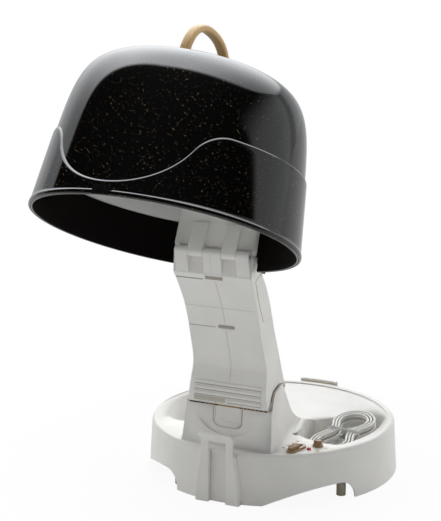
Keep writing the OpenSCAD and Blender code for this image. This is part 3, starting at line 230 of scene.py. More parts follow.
def made(name, bm, body, finish, stands_for=(), sharp_deg=35):
    """A finished piece from its working mesh: shaded, painted, and riding on its body."""
    mesh = bpy.data.meshes.new(name)
    bm.to_mesh(mesh)
    bm.free()
    mesh.polygons.foreach_set("use_smooth", [True] * len(mesh.polygons))
    mesh.set_sharp_from_angle(angle=math.radians(sharp_deg))
    mesh.materials.append(finish)
    piece = bpy.data.objects.new(name, mesh)
    bpy.context.scene.collection.objects.link(piece)
    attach(piece, body)
    if stands_for:
        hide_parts(*stands_for)
    return piece


def even_shading(piece):
    """Lets the large flat faces set the shading, so that rounded edges don't darken them."""
    weighted = piece.modifiers.new("even shading", "WEIGHTED_NORMAL")
    weighted.keep_sharp = True
    weighted.weight = 80
    return piece


def body_with(node):
    for body, members in frame["record"]["behaviour"]["bodies"].items():
        if node in members:
            return body
    return None


def smoothed(node, name=None, sharp_deg=35, round_mm=0.0, corner_deg=50, steps=2):
    """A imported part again, with its curves smooth and, where asked, its corners rounded."""
    bm = bmesh.new()
    bm.from_mesh(frame["nodes"][node].data)
    bmesh.ops.remove_doubles(bm, verts=bm.verts, dist=0.002 * MM)
    bmesh.ops.dissolve_limit(bm, angle_limit=math.radians(0.4), verts=bm.verts, edges=bm.edges)
    if round_mm:
        corners = [
            e
            for e in bm.edges
            if len(e.link_faces) == 2
            and e.calc_face_angle(0) > math.radians(corner_deg)
            and e.calc_length() > 2.5 * round_mm * MM
        ]
        bmesh.ops.bevel(
            bm,
            geom=corners,
            offset=round_mm * MM,
            offset_type="OFFSET",
            segments=steps,
            profile=0.5,
            affect="EDGES",
            clamp_overlap=False,
            material=-1,
        )
    bmesh.ops.triangulate(bm, faces=[f for f in bm.faces if len(f.verts) > 4])
    slot = slot_of.get(node)
    piece = made(name or node + "_smooth", bm, body_with(node), finishes[slot], [node], sharp_deg)
    return even_shading(piece)


# ---------- camera, lights, floor ----------

camera = bpy.data.objects.new("camera", bpy.data.cameras.new("camera"))
bpy.context.scene.collection.objects.link(camera)
camera.location = (0.7972, -1.7796, 0.705)
camera.rotation_euler = (math.radians(90 - 12.4), 0, math.radians(26.2))
camera.data.lens = 105.44
camera.data.sensor_width = 36
camera.data.clip_end = 60
bpy.context.scene.camera = camera


def step(tree, value, dark_at, bright_at):
    """Rises smoothly from 0 to 1 between the two values."""
    node = tree.nodes.new("ShaderNodeMapRange")
    node.interpolation_type = "SMOOTHSTEP"
    node.inputs["From Min"].default_value = dark_at
    node.inputs["From Max"].default_value = bright_at
    tree.links.new(value, node.inputs["Value"])
    return node.outputs["Result"]


def grey_ramp(tree, value, stops):
    return ramp(tree, value, [(place, (level, level, level)) for place, level in stops])


def toward(tree, parts, way):
    """How far a direction, given as its three parts, points along a way."""
    total = math_of(tree, "MULTIPLY", parts[0], way[0])
    for part, share in zip(parts[1:], way[1:]):
        total = math_of(tree, "ADD", total, math_of(tree, "MULTIPLY", part, share))
    return total


SOFTBOX = 6.4
WALL = 0.85
FILL_SHARE = 0.065
SOFT_FILL = 1.75
EVEN_FILL = 0.35
FLOOR_IN_GLOSS = 0.7
PANEL_MID = (-0.2, 1.35)
PANEL_ROUND = 1.5


def studio(tree):
    """Brightness of the studio by direction: a great softbox over and behind the object, a dim wall to its right."""

    def sum_of(a, b):
        return math_of(tree, "ADD", a, b)

    def times(a, b):
        return math_of(tree, "MULTIPLY", a, b)

    def above_zero(a):
        return math_of(tree, "MAXIMUM", a, 0.0)

    split = tree.nodes.new("ShaderNodeSeparateXYZ")
    tree.links.new(tree.nodes.new("ShaderNodeTexCoord").outputs["Generated"], split.inputs[0])
    x, y, z = (split.outputs[i] for i in range(3))
    over = math_of(tree, "MAXIMUM", z, 0.03)
    across, back = math_of(tree, "DIVIDE", x, over), math_of(tree, "DIVIDE", y, over)
    right_of = above_zero(sum_of(across, -PANEL_MID[0]))
    left_of = above_zero(sum_of(times(across, -1.0), PANEL_MID[0]))
    in_front = above_zero(sum_of(sum_of(times(back, -1.0), PANEL_MID[1]), times(left_of, 0.18)))
    reach = math_of(tree, "SQRT", sum_of(times(right_of, right_of), times(in_front, in_front)), 0.0)
    panel = times(
        step(tree, reach, PANEL_ROUND + 0.05, PANEL_ROUND - 0.05),
        step(tree, sum_of(back, times(across, 1.386)), 4.4, 3.4),
    )
    climb = grey_ramp(tree, z, [(0.0, 0.1), (0.1, 0.2), (0.26, 0.37), (0.42, 0.53), (0.57, 0.7), (0.72, 0.9), (0.85, 1.0)])
    falls = grey_ramp(
        tree, sum_of(times(x, 0.5), 0.5),
        [(0.035, 0.33), (0.06, 0.6), (0.1, 0.8), (0.2, 1.0), (0.56, 1.0), (0.675, 0.8), (0.75, 0.6), (0.82, 0.42)],
    )
    box = times(times(panel, climb), times(falls, SOFTBOX))
    left_edge = step(tree, toward(tree, (x, y, z), (0.368, 0.911, 0.187)), -0.01, 0.03)
    right_edge = step(tree, toward(tree, (x, y, z), (-0.426, 0.645, 0.632)), -0.01, 0.02)
    joint = step(tree, math_of(tree, "ABSOLUTE", toward(tree, (x, y, z), (0.891, -0.454, 0)), 0.0), 0.14, 0.04)
    wall = times(times(left_edge, right_edge), times(step(tree, z, 0.58, 0.3), WALL))
    wall = times(wall, sum_of(times(joint, -0.42), 1.0))
    haze = sum_of(times(math_of(tree, "POWER", above_zero(z), 3.0), 0.1), 0.002)
    return sum_of(math_of(tree, "MAXIMUM", box, wall), haze)


world = bpy.data.worlds.new("studio")
bpy.context.scene.world = world
world.use_nodes = True
air = world.node_tree
level = studio(air)


def soft_fill(tree):
    """A soft light from the sides and from behind, too weak to show in the gloss."""
    split = tree.nodes.new("ShaderNodeSeparateXYZ")
    tree.links.new(tree.nodes.new("ShaderNodeTexCoord").outputs["Generated"], split.inputs[0])
    faces = toward(tree, [split.outputs[i] for i in range(3)], (-0.5, 0.87, 0))
    low = step(tree, split.outputs[2], 0.9, 0.2)
    behind = math_of(tree, "MULTIPLY", step(tree, faces, -0.45, 0.65), SOFT_FILL)
    return math_of(tree, "ADD", math_of(tree, "MULTIPLY", behind, low), EVEN_FILL)


strengths = {"fill": math_of(air, "ADD", math_of(air, "MULTIPLY", level, FILL_SHARE), soft_fill(air)), "gloss": level}
glows = {}
for what, strength in strengths.items():
    glow = air.nodes.new("ShaderNodeBackground")
    glow.inputs["Color"].default_value = (0.95, 0.975, 1.0, 1)
    air.links.new(strength, glow.inputs["Strength"])
    glows[what] = glow.outputs[0]
white = air.nodes.new("ShaderNodeBackground")
white.inputs["Color"].default_value = (1, 1, 1, 1)
seen = air.nodes.new("ShaderNodeLightPath")
glossy = air.nodes.new("ShaderNodeMixShader")
air.links.new(seen.outputs["Is Glossy Ray"], glossy.inputs["Fac"])
air.links.new(glows["fill"], glossy.inputs[1])
air.links.new(glows["gloss"], glossy.inputs[2])
clean = air.nodes.new("ShaderNodeMixShader")
air.links.new(seen.outputs["Is Camera Ray"], clean.inputs["Fac"])
air.links.new(glossy.outputs[0], clean.inputs[1])
air.links.new(white.outputs[0], clean.inputs[2])
air.links.new(clean.outputs[0], air.nodes["World Output"].inputs["Surface"])

bm = bmesh.new()
bmesh.ops.create_circle(bm, cap_ends=True, segments=96, radius=30)
mesh = bpy.data.meshes.new("floor")
bm.to_mesh(mesh)
bm.free()
floor = bpy.data.objects.new("floor", mesh)
bpy.context.scene.collection.objects.link(floor)
sweep, tree, gloss, where = shader("white floor")
gloss.inputs["Base Color"].default_value = (0.95, 0.95, 0.95, 1)
gloss.inputs["Roughness"].default_value = 0.8
glow = tree.nodes.new("ShaderNodeEmission")
path = tree.nodes.new("ShaderNodeLightPath")
far = tree.nodes.new("ShaderNodeVectorMath")
far.operation = "LENGTH"
tree.links.new(where, far.inputs[0])
distance = ramp(tree, math_of(tree, "MULTIPLY", far.outputs["Value"], 0.5), [(0.1, (0.93,) * 3), (0.22, (1, 1, 1))])
blend = tree.nodes.new("ShaderNodeMixShader")
tree.links.new(math_of(tree, "MULTIPLY", path.outputs["Is Camera Ray"], distance), blend.inputs["Fac"])
tree.links.new(gloss.outputs[0], blend.inputs[1])
tree.links.new(glow.outputs[0], blend.inputs[2])
mirrored = tree.nodes.new("ShaderNodeEmission")
mirrored.inputs["Strength"].default_value = FLOOR_IN_GLOSS
floor_mix = tree.nodes.new("ShaderNodeMixShader")
tree.links.new(path.outputs["Is Glossy Ray"], floor_mix.inputs["Fac"])
tree.links.new(blend.outputs[0], floor_mix.inputs[1])
tree.links.new(mirrored.outputs[0], floor_mix.inputs[2])
tree.links.new(floor_mix.outputs[0], tree.nodes["Material Output"].inputs["Surface"])
mesh.materials.append(sweep)

bpy.context.scene.view_settings.view_transform = "Standard"


# ---------- the cord in its pocket ----------


def smooth_line(points, steps):
    """A smooth line through the points, with that many steps between neighbours."""
    last = len(points) - 1
    line = []
    for i in range(last):
        a, b, c, d = (points[max(0, min(last, i + k))] for k in (-1, 0, 1, 2))
        for k in range(steps):
            t = k / steps
            line.append(
                0.5
                * (2 * b + (c - a) * t + (2 * a - 5 * b + 4 * c - d) * t * t + (3 * b - a - 3 * c + d) * t**3)
            )
    return line + [points[last]]


def drawn_along(points, section, upright=Vector((0, 0, 1))):
    """A section drawn along a line of points, on edge, with both ends closed."""
    bm = bmesh.new()
    number = bm.verts.layers.int.new("number")
    ring = bmesh.ops.create_circle(bm, cap_ends=True, segments=len(section), radius=1)["verts"]
    for i, vert in enumerate(ring):
        vert[number] = i
    edges = list({e for v in ring for e in v.link_edges})
    last = len(points) - 1
    for i, place in enumerate(points):
        along = (points[min(i + 1, last)] - points[max(i - 1, 0)]).normalized()
        across = along.cross(upright).normalized()
        up = across.cross(along)
        if i:
            grown = bmesh.ops.extrude_edge_only(bm, edges=edges)["geom"]
            edges = [g for g in grown if isinstance(g, bmesh.types.BMEdge)]
            ring = [g for g in grown if isinstance(g, bmesh.types.BMVert)]
            loop = set(ring)
            edges = [e for e in edges if e.verts[0] in loop and e.verts[1] in loop]
        for vert in ring:
            x, y = section[vert[number]]
            vert.co = place + across * x + up * y
    bmesh.ops.edgeloop_fill(bm, edges=edges)
    bmesh.ops.recalc_face_normals(bm, faces=bm.faces)
    return bm


POCKET_Z = 40
CORD_W, CORD_T = 6.0, 3.2
LOOPS = 6
NEAR_TURN = Vector((103, -42.5))
FAR_TURN = Vector((111, 12.5))
MIDDLE = (NEAR_TURN + FAR_TURN) / 2
SPAN = (FAR_TURN - NEAR_TURN).length
ALONG = (FAR_TURN - NEAR_TURN) / SPAN
ACROSS = Vector((ALONG.y, -ALONG.x))
INNER, STEP, WAIST, LAYER, SLOPE = 16.2, 4.3, 9, 7.2, 0.2
LOW = POCKET_Z + CORD_W / 2 + 0.2 + SLOPE * (SPAN / 2 + INNER + 3 * STEP)


def waist(s):
    return WAIST * (1 + math.cos(2 * math.pi * s / SPAN)) / 2


def hank_point(t):
    """A point on the hank after t loops, in millimetres."""
    r = INNER + STEP * abs(t - 3) - math.exp(-(((t - 3) / 0.12) ** 2))
    g = t - math.floor(t)
    if g < 0.145:
        turn = math.pi / 2 * g / 0.145
        q = (-SPAN / 2 - r * math.cos(turn), r * math.sin(turn))
    elif g < 0.355:
        s = SPAN * ((g - 0.145) / 0.21 - 0.5)
        q = (s, r - waist(s))
    elif g < 0.645:
        turn = math.pi * (g - 0.355) / 0.29
        q = (SPAN / 2 + r * math.sin(turn), r * math.cos(turn))
    elif g < 0.855:
        s = SPAN * (0.5 - (g - 0.645) / 0.21)
        q = (s, waist(s) - r)
    else:
        turn = math.pi / 2 * (g - 0.855) / 0.145
        q = (-SPAN / 2 - r * math.sin(turn), -r * math.cos(turn))
    flat = MIDDLE + q[0] * ALONG + q[1] * ACROSS
    climb = min(1, max(0, (t - 2.9) / 0.2))
    return Vector((flat.x, flat.y, LOW + SLOPE * q[0] + LAYER * climb * climb * (3 - 2 * climb)))


turns = [hank_point(i / 24) for i in range(24 * LOOPS + 1)]
first_way = (hank_point(0.02) - hank_point(0)).normalized()
last_way = (hank_point(LOOPS) - hank_point(LOOPS - 0.02)).normalized()
start, end = turns[0] - 4 * first_way, turns[-1] + 4 * last_way
lead = [(55, -47, 52), (61, -47, 52), (66, -48.2, 51.4), (73, -54.2, 48.6), (80.5, -62, 45.6), (88, -67.2, 43.8)]
tail = [
    (109.8, -72.2, 51), (121.9, -68, 51), (131.6, -58, 50.5), (135.8, -44, 49.6), (137.8, -28, 49), (139.4, -8, 49),
    (140.2, 12, 49), (140, 27, 49), (136.8, 38.4, 49), (129, 45.4, 49), (119.6, 45.6, 49.2),
]
PLUG = Vector((107.4, 17, POCKET_Z + 9.6))
plug_way = Vector((ALONG.x, ALONG.y, 0))
behind_plug = PLUG + 16 * plug_way
tail_end = [behind_plug + d * plug_way + Vector((1.2 if d > 8 else 0, 0, 0)) for d in (8.5, 3.5, 0.1)]
route = smooth_line(
    [Vector(p) for p in lead]
    + [start - 4 * first_way, start]
    + turns[:1]
    + turns[1:]
    + [end, end + 3 * last_way]
    + [Vector(p) for p in tail]
    + tail_end,
    4,
)
route = [p * MM for p in route]
route_length = sum((b - a).length for a, b in zip(route, route[1:]))


def twin_section():
    """Two round cores side by side in one cover, with a groove between them."""
    half = []
    core, apart = CORD_T / 2, (CORD_W - CORD_T) / 2
    for k in range(9):
        turn = math.radians(-38 + 256 * k / 8)
        half.append((core * math.cos(turn), apart + core * math.sin(turn)))
    return [(x * MM, y * MM) for x, y in half + [(-x, -y) for x, y in half]]


cord = made("cord_in_pocket", drawn_along(route, twin_section()), "base", finishes["cord_cover"],
            ["cord_lead", "cord_hank", "cord_end"], sharp_deg=50)


def turned_to_hank():
    return Matrix.Translation(PLUG * MM) @ Matrix.Rotation(math.atan2(ALONG.y, ALONG.x) - math.pi / 2, 4, "Z")


def rounded_block(size, round_mm, steps=3):
    """A closed block of that size in millimetres round the origin, with its edges rounded."""
    bm = bmesh.new()
    bmesh.ops.create_cube(bm, size=1)
    bmesh.ops.scale(bm, vec=Vector(size) * MM, verts=bm.verts)
    bmesh.ops.bevel(bm, geom=bm.edges[:], offset=round_mm * MM, offset_type="OFFSET", segments=steps, profile=0.5,
                    affect="EDGES", clamp_overlap=True, material=-1)
    return bm


TIE_HALF = INNER + 3 * STEP - WAIST + CORD_T / 2 + 0.7
tie_at = Vector((MIDDLE.x, MIDDLE.y, LOW + LAYER / 2))
tie_turn = Matrix.Rotation(math.atan2(ALONG.y, ALONG.x) - math.pi / 2, 4, "Z")


def tie_line():
    """Once round the waist of the hank, as a ring whose two ends meet on top."""
    wide, tall = TIE_HALF + 0.6, (LAYER + CORD_W + 3.0) / 2
    corners = []
    for k in range(48):
        turn = math.radians(90 + 360 * k / 48)
        c, s = math.cos(turn), math.sin(turn)
        power = 0.42
        x = wide * math.copysign(abs(c) ** power, c)
        z = tall * math.copysign(abs(s) ** power, s)
        corners.append(Vector((x, 0, z)))
    return corners + [corners[0]]


def tie_piece():
    """A flat twist tie round the hank's waist."""
    loop = [tie_at + (tie_turn @ p) for p in tie_line()]
    flat = [(0.45 * math.cos(math.radians(a)), 1.5 * math.sin(math.radians(a))) for a in range(0, 360, 30)]
    bm = drawn_along([p * MM for p in loop], [(y * MM, x * MM) for x, y in flat], upright=Vector(tie_turn @ Vector((0.02, 1, 0.01))))
    return bm


tie = made("twist_tie", tie_piece(), "base", finishes["tie_plastic"], ["cord_tie"], sharp_deg=50)


def lofted(rings):
    """A closed body through rings of equal count, each a list of points in millimetres."""
    bm = bmesh.new()
    number = bm.verts.layers.int.new("number")
    count = len(rings[0])
    ring = bmesh.ops.create_circle(bm, cap_ends=True, segments=count, radius=1)["verts"]
    for i, vert in enumerate(ring):
        vert[number] = i
    edges = list({e for v in ring for e in v.link_edges})
    for i, points in enumerate(rings):
        if i:
            grown = bmesh.ops.extrude_edge_only(bm, edges=edges)["geom"]
            ring = [g for g in grown if isinstance(g, bmesh.types.BMVert)]
            loop = set(ring)
            edges = [
                g for g in grown if isinstance(g, bmesh.types.BMEdge) and g.verts[0] in loop and g.verts[1] in loop
            ]
        for vert in ring:
            vert.co = Vector(points[vert[number]]) * MM
    bmesh.ops.edgeloop_fill(bm, edges=edges)
    bmesh.ops.recalc_face_normals(bm, faces=bm.faces)
    return bm


def squircle(half_x, half_z, y, power=0.55, count=32, x0=0.0, z0=0.0):
    ring = []
    for k in range(count):
        c, s = math.cos(2 * math.pi * k / count), math.sin(2 * math.pi * k / count)
        ring.append((x0 + half_x * math.copysign(abs(c) ** power, c), y, z0 + half_z * math.copysign(abs(s) ** power, s)))
    return ring


def plug_piece():
    """The moulded plug: a grip that narrows towards the cord, and two flat blades."""
    stations = [
        (-10.9, 7.6, 7.2), (-10.6, 8.8, 8.4), (-9.6, 9.6, 9.2), (-6, 9.9, 9.3), (-1, 9.4, 8.8), (3, 8.4, 8.0), (7, 7.6, 7.4),
        (9, 6.9, 6.9), (10.5, 5.6, 5.8), (12, 5.0, 5.2), (13.2, 4.5, 4.7), (14.4, 4.5, 4.6), (15.4, 3.9, 4.2), (15.95, 3.1, 3.6),
    ]
    bm = lofted([squircle(x, z, y, 0.7) for y, x, z in stations])
    for side in (-6.35, 6.35):
        blade = rounded_block((1.5, 15.2, 6.4), 0.5, 2)
        bmesh.ops.translate(blade, verts=blade.verts, vec=Vector((side, -18.3, 0)) * MM)
        mesh = bpy.data.meshes.new("blade")
        blade.to_mesh(mesh)
        blade.free()
        before = len(bm.faces)
        bm.from_mesh(mesh)
        bpy.data.meshes.remove(mesh)
        bm.faces.ensure_lookup_table()
        for face in bm.faces[before:]:
            face.material_index = 1
    bmesh.ops.transform(bm, matrix=turned_to_hank(), verts=bm.verts)
    return bm


plug = made("moulded_plug", plug_piece(), "base", finishes["cord_cover"], ["cord_plug"], sharp_deg=50)
plug.data.materials.append(finishes["bright_steel"])

# ---------- hood ----------

DOME_R, DOME_DRAFT, DOME_H = 153, 0.13, 191.5
CROWN_R, CROWN_H, CROWN_BIG = 90, 188.7, 451
CROWN_TOP = CROWN_H + CROWN_BIG - math.sqrt(CROWN_BIG**2 - CROWN_R**2)
DOME_WALL = 2.4
BAND, BEAD, BEAD_H = 2.2, 0.6, 5
CREST, SCOOP_LOW, SCOOP_R, SHOULDER_R = 88, 17, 104, 50


def dome_side(h):
    return DOME_R * (1 - DOME_DRAFT * h / DOME_H) * (1 - (max(h, 0) / DOME_H) ** 7.2) ** (1 / 6.2)


def dome_profile(wall):
    """Half the dome's section from the rim to the pole, moved inwards by wall."""
    side = [(dome_side(h), h) for h in [188.7 * math.sin(math.radians(90 * k / 54)) for k in range(54)]]
    cap = [
        (r, CROWN_TOP - CROWN_BIG + math.sqrt(CROWN_BIG**2 - r * r))
        for r in [CROWN_R * (1 - k / 16) for k in range(17)]
    ]
    line = side + cap
    moved = []
    for i, (r, h) in enumerate(line):
        a, b = line[max(i - 1, 0)], line[min(i + 1, len(line) - 1)]
        way = Vector((b[0] - a[0], b[1] - a[1])).normalized()
        moved.append((max(0, r - wall * way.y) if i < len(line) - 1 else 0, h + wall * way.x))
    moved[0] = (line[0][0] - wall, 0)
    return moved


def spun(profile, steps=256):
    """A closed section turned once round the hood's axis."""
    bm = bmesh.new()
    verts = [bm.verts.new((r * MM, 0, h * MM)) for r, h in profile]
    edges = [bm.edges.new((a, b)) for a, b in zip(verts, verts[1:])]
    bmesh.ops.spin(bm, geom=verts + edges, cent=(0, 0, 0), axis=(0, 0, 1), dvec=(0, 0, 0), angle=2 * math.pi,
                   steps=steps, use_merge=True, use_normal_flip=False, use_duplicate=False)
    bmesh.ops.remove_doubles(bm, verts=bm.verts, dist=0.01 * MM)
    bmesh.ops.recalc_face_normals(bm, faces=bm.faces)
    return bm


def cut_out(bm, blocks):
    """Takes rectangular blocks, given by two corners in millimetres, out of a closed body."""
    body_mesh = bpy.data.meshes.new("body")
    bm.to_mesh(body_mesh)
    bm.free()
    body = bpy.data.objects.new("body", body_mesh)
    bpy.context.scene.collection.objects.link(body)
    tools = []
    for low, high in blocks:
        block = bmesh.new()
        bmesh.ops.create_cube(block, size=1)
        size = [b - a for a, b in zip(low, high)]
        bmesh.ops.scale(block, vec=Vector(size) * MM, verts=block.verts)
        bmesh.ops.translate(block, verts=block.verts, vec=(Vector(low) + Vector(high)) / 2 * MM)
        mesh = bpy.data.meshes.new("block")
        block.to_mesh(mesh)
        block.free()
        tool = bpy.data.objects.new("block", mesh)
        bpy.context.scene.collection.objects.link(tool)
        tools.append(tool)
        cut = body.modifiers.new("cut", "BOOLEAN")
        cut.operation = "DIFFERENCE"
        cut.solver = "EXACT"
        cut.object = tool
    bpy.context.view_layer.update()
    shaped = body.evaluated_get(bpy.context.evaluated_depsgraph_get())
    result = bmesh.new()
    result.from_mesh(shaped.to_mesh())
    shaped.to_mesh_clear()
    for thing in [body, *tools]:
        mesh = thing.data
        bpy.data.objects.remove(thing)
        bpy.data.meshes.remove(mesh)
    return result


NECK_GAP = [((-55.8, 100, -1), (55.8, 200, 17)), ((-52.3, 100, -1), (52.3, 200, 66.3))]


def dome_piece():
    """The dome as one thin moulding, rim rounded, with the gap for the neck."""
    outer, inner = dome_profile(0), dome_profile(DOME_WALL)
    outer[0] = (DOME_R, 0.8)
    inner[0] = (DOME_R - DOME_WALL, 0.8)
    foot = [(DOME_R - DOME_WALL + 0.3, 0.2), (DOME_R - DOME_WALL + 0.9, 0), (DOME_R - 0.9, 0), (DOME_R - 0.3, 0.2)]
    bm = spun(list(reversed(inner)) + foot + outer)
    bm = cut_out(bm, NECK_GAP)
    bm.normal_update()
    for face in bm.faces:
        if face.normal.dot(face.calc_center_median() - Vector((0, 0, 60 * MM))) < 0:
            face.material_index = 1
    bmesh.ops.transform(bm, matrix=HOOD, verts=bm.verts)
    return bm


dome = made("hood_dome", dome_piece(), "hood", finishes["speckled_black"], ["dome_shell"], sharp_deg=40)
dome.data.materials.append(hood_lining)

SCOOP_MID = SCOOP_LOW + SCOOP_R
SHOULDER_MID = CREST - SHOULDER_R
SHOULDER_S = math.sqrt((SCOOP_R + SHOULDER_R) ** 2 - (SCOOP_MID - SHOULDER_MID) ** 2)
TANGENT_S = SHOULDER_S * SCOOP_R / (SCOOP_R + SHOULDER_R)


def band_edge(s):
    """Height of the band's top edge, and the way its edge faces, at the distance s round from the front."""
    side, s = math.copysign(1, s), abs(s)
    if s < TANGENT_S:
        h = SCOOP_MID - math.sqrt(SCOOP_R**2 - s * s)
        way = Vector((-s, SCOOP_MID - h)).normalized()
    elif s < SHOULDER_S:
        h = SHOULDER_MID + math.sqrt(SHOULDER_R**2 - (s - SHOULDER_S) ** 2)
        way = Vector((s - SHOULDER_S, h - SHOULDER_MID)).normalized()
    else:
        h, way = CREST, Vector((0, 1))
    return h, Vector((way.x * side, way.y))


BAND_ROWS = 22
ROLL = 9
EDGE_ROLL = 3.4


def band_section(s):
    """The band's section at the distance s round from the front, as (distance round, height, radius)."""
    edge, way = band_edge(s)
    at = Vector((s, edge))
    low = at - EDGE_ROLL * way
    points = []
    for k in range(5):
        turn = math.radians(-90 + 90 * k / 4)
        points.append((s, 1.9 + 1.9 * math.sin(turn), 153.9 + 1.9 * math.cos(turn)))
    points += [(s, 3.6, 155.8), (s, 4.5, 155.7), (s, 5.1, 155.35), (s, 5.6, dome_side(5.6) + BAND)]
    for k in range(1, BAND_ROWS):
        p = Vector((s, 5.6)).lerp(low, k / BAND_ROWS)
        points.append((p.x, p.y, dome_side(p.y) + BAND))
    for k in range(ROLL + 1):
        turn = math.radians(90 * k / ROLL)
        p = low + EDGE_ROLL * math.sin(turn) * way
        points.append((p.x, p.y, dome_side(p.y) + 0.02 + (BAND - 0.02) * math.cos(turn)))
    inner = at - 0.3 * way
    points += [(inner.x, inner.y, dome_side(inner.y) - 0.2), (s, edge * 0.5, dome_side(edge * 0.5) + 0.1),
               (s, 0.5, 153.1), (s, 0.1, 153.4)]
    return points


def band_piece():
    """The skirt band that wraps the dome, scooped in front, with a rolled top edge and a rim bead."""
    round_steps = 480
    about = 2 * math.pi * 152
    shape = len(band_section(0))
    bm = bmesh.new()
    bmesh.ops.create_grid(bm, x_segments=round_steps, y_segments=shape, size=0.5)
    for vert in bm.verts:
        i = round((vert.co.x + 0.5) * round_steps)
        j = round((vert.co.y + 0.5) * shape)
        s, h, r = band_section(about * (i / round_steps - 0.5))[j % shape]
        turn = s / 152
        vert.co = Vector((r * math.sin(turn), -r * math.cos(turn), h)) * MM
    bmesh.ops.remove_doubles(bm, verts=bm.verts, dist=0.005 * MM)
    bmesh.ops.recalc_face_normals(bm, faces=bm.faces)
    bm = cut_out(bm, NECK_GAP)
    bmesh.ops.transform(bm, matrix=HOOD, verts=bm.verts)
    return bm


made("hood_skirt_band", band_piece(), "hood", finishes["speckled_black"], ["hood_band"], sharp_deg=50)

HANDLE_MID, HANDLE_LOW = 12, 188
HANDLE_REACH, HANDLE_RISE = 56.5, 59.5
HANDLE_HALF_T, HANDLE_HALF_W = 4.5, 6.3


def handle_piece():
    """The arched handle with a softly rounded section, both ends let into the crown."""
    arch = []
    for i in range(97):
        turn = math.radians(180 * i / 96)
        c, s = math.cos(turn), math.sin(turn)
        y = HANDLE_MID + HANDLE_REACH * math.copysign(abs(c) ** (1 / 1.2), c)
        z = HANDLE_LOW + HANDLE_RISE * abs(s) ** (1 / 1.2)
        if z > CROWN_TOP - CROWN_BIG + math.sqrt(CROWN_BIG**2 - y * y) - 1.5:
            arch.append(Vector((0, y, z)) * MM)
    section = [
        (HANDLE_HALF_T * MM * math.copysign(abs(math.cos(a)) ** 0.7, math.cos(a)),
         HANDLE_HALF_W * MM * math.copysign(abs(math.sin(a)) ** 0.7, math.sin(a)))
        for a in (math.radians(10 * k) for k in range(36))
    ]
    bm = drawn_along(arch, section, upright=Vector((1, 0, 0)))
    bmesh.ops.transform(bm, matrix=HOOD, verts=bm.verts)
    return bm


made("handle_arch", handle_piece(), "hood", finishes["tan_plastic"], ["handle"], sharp_deg=60)

# ---------- the moulded parts, smoothed ----------

for part in (
    "base_shell", "base_pan", "rubber_feet", "front_catch", "rear_rest", "latch_button", "arm_left", "arm_right",
    "arm_back_cover", "hood_release", "neck_duct", "neck_cover", "hood_clip", "air_ceiling", "switch_bezel",
    "slide_knob", "mode_knob", "indicator_lens", "cord_grommet",
):
    smoothed(part, sharp_deg=20 if part.startswith("arm") else 35)

# ---------- fine details laid on the mouldings ----------


def skin_of(*parts):
    """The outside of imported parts, to find where a detail lies on them."""
    bm = bmesh.new()
    for part in parts:
        bm.from_mesh(frame["nodes"][part].data)
    skin = BVHTree.FromBMesh(bm)
    bm.free()
    return skin


arm_skin = skin_of("arm_left", "arm_right")
base_skin = skin_of("base_shell", "latch_button")


def on_front(skin, x, z, out=0.0):
    """The point at x, z on the front of a part, in millimetres."""
    hit = skin.ray_cast(Vector((x, -400, z)) * MM, Vector((0, 1, 0)))[0]
    return Vector((x, hit.y / MM - out, z))


def on_side(skin, y, z, out=0.0):
    """The point at y, z on the right side of a part, in millimetres."""
    hit = skin.ray_cast(Vector((200, y, z)) * MM, Vector((-1, 0, 0)))[0]
    return Vector((hit.x / MM + out, y, z))


def bar(points, out, wide, upright=Vector((0, 0, 1))):
    """A slim bar along the points: half its thickness out of the surface, and half its width."""
    flat = [(out * math.cos(math.radians(a)), wide * math.sin(math.radians(a))) for a in range(0, 360, 30)]
    return drawn_along([Vector(p) * MM for p in points], [(a * MM, b * MM) for a, b in flat], upright)


def together(bodies):
    """Several working meshes as one."""
    whole = bmesh.new()
    for bm in bodies:
        mesh = bpy.data.meshes.new("part")
        bm.to_mesh(mesh)
        bm.free()
        whole.from_mesh(mesh)
        bpy.data.meshes.remove(mesh)
    return whole


def across_arm(z, low, high, steps=8):
    return [on_front(arm_skin, low + (high - low) * i / steps, z) for i in range(steps + 1)]


made("arm_ribs", together([
    bar(across_arm(z, low, 46), 1.5, 2.1)
    for z, low in ((124.6, 0), (131.6, -46), (138.6, -46), (145.6, -46))
]), "arm", finishes["ivory_body"], sharp_deg=60)
# grey bars under the ribs: painted shade
made("arm_rib_shades", together([
    bar(across_arm(z - 3.1, low, 46), 0.3, 0.7) for z, low in ((124.6, 0), (131.6, -46), (138.6, -46), (145.6, -46))
]), "arm", rib_shade_grey, sharp_deg=60)
made("arm_rib_patch", bar(across_arm(124.2, -47, -4), 0.3, 3.0), "arm", moulded("beige of a patch", (0.62, 0.57, 0.48), 0.6), sharp_deg=60)

SIDEWAYS = Vector((1, 0, 0))
# the parting line down the arm's front, as a thin bar of painted shade
made("arm_parting_line", together([
    bar([on_front(arm_skin, 2.2, z) for z in range(low, high, 4)], 0.1, 0.28, SIDEWAYS)
    for low, high in ((149, 221), (226, 288))
]), "arm", rib_shade_grey)
# the faint cross line is a bar of painted shade
made("arm_cross_line", bar(across_arm(248.5, -48.8, 46), 0.1, 0.3), "arm", fine_line_shade_grey)
# the groove lines are bars of painted shade
made("arm_groove_lines", together([bar(across_arm(z, low, high), 0.12, 1.15) for z, low, high in ((288.2, -50.8, -14), (220.8, -48.6, -12))]), "arm", groove_shade_grey)


def window_shade_bar(z, low, high):
    """A slim bar across one of the arm's windows, coloured as the painted shade in it."""
    bodies = [bar([(x, on_front(arm_skin, low - 2, z).y, z) for x in (low, high)], 0.25, 2.2)]
    return together(bodies)
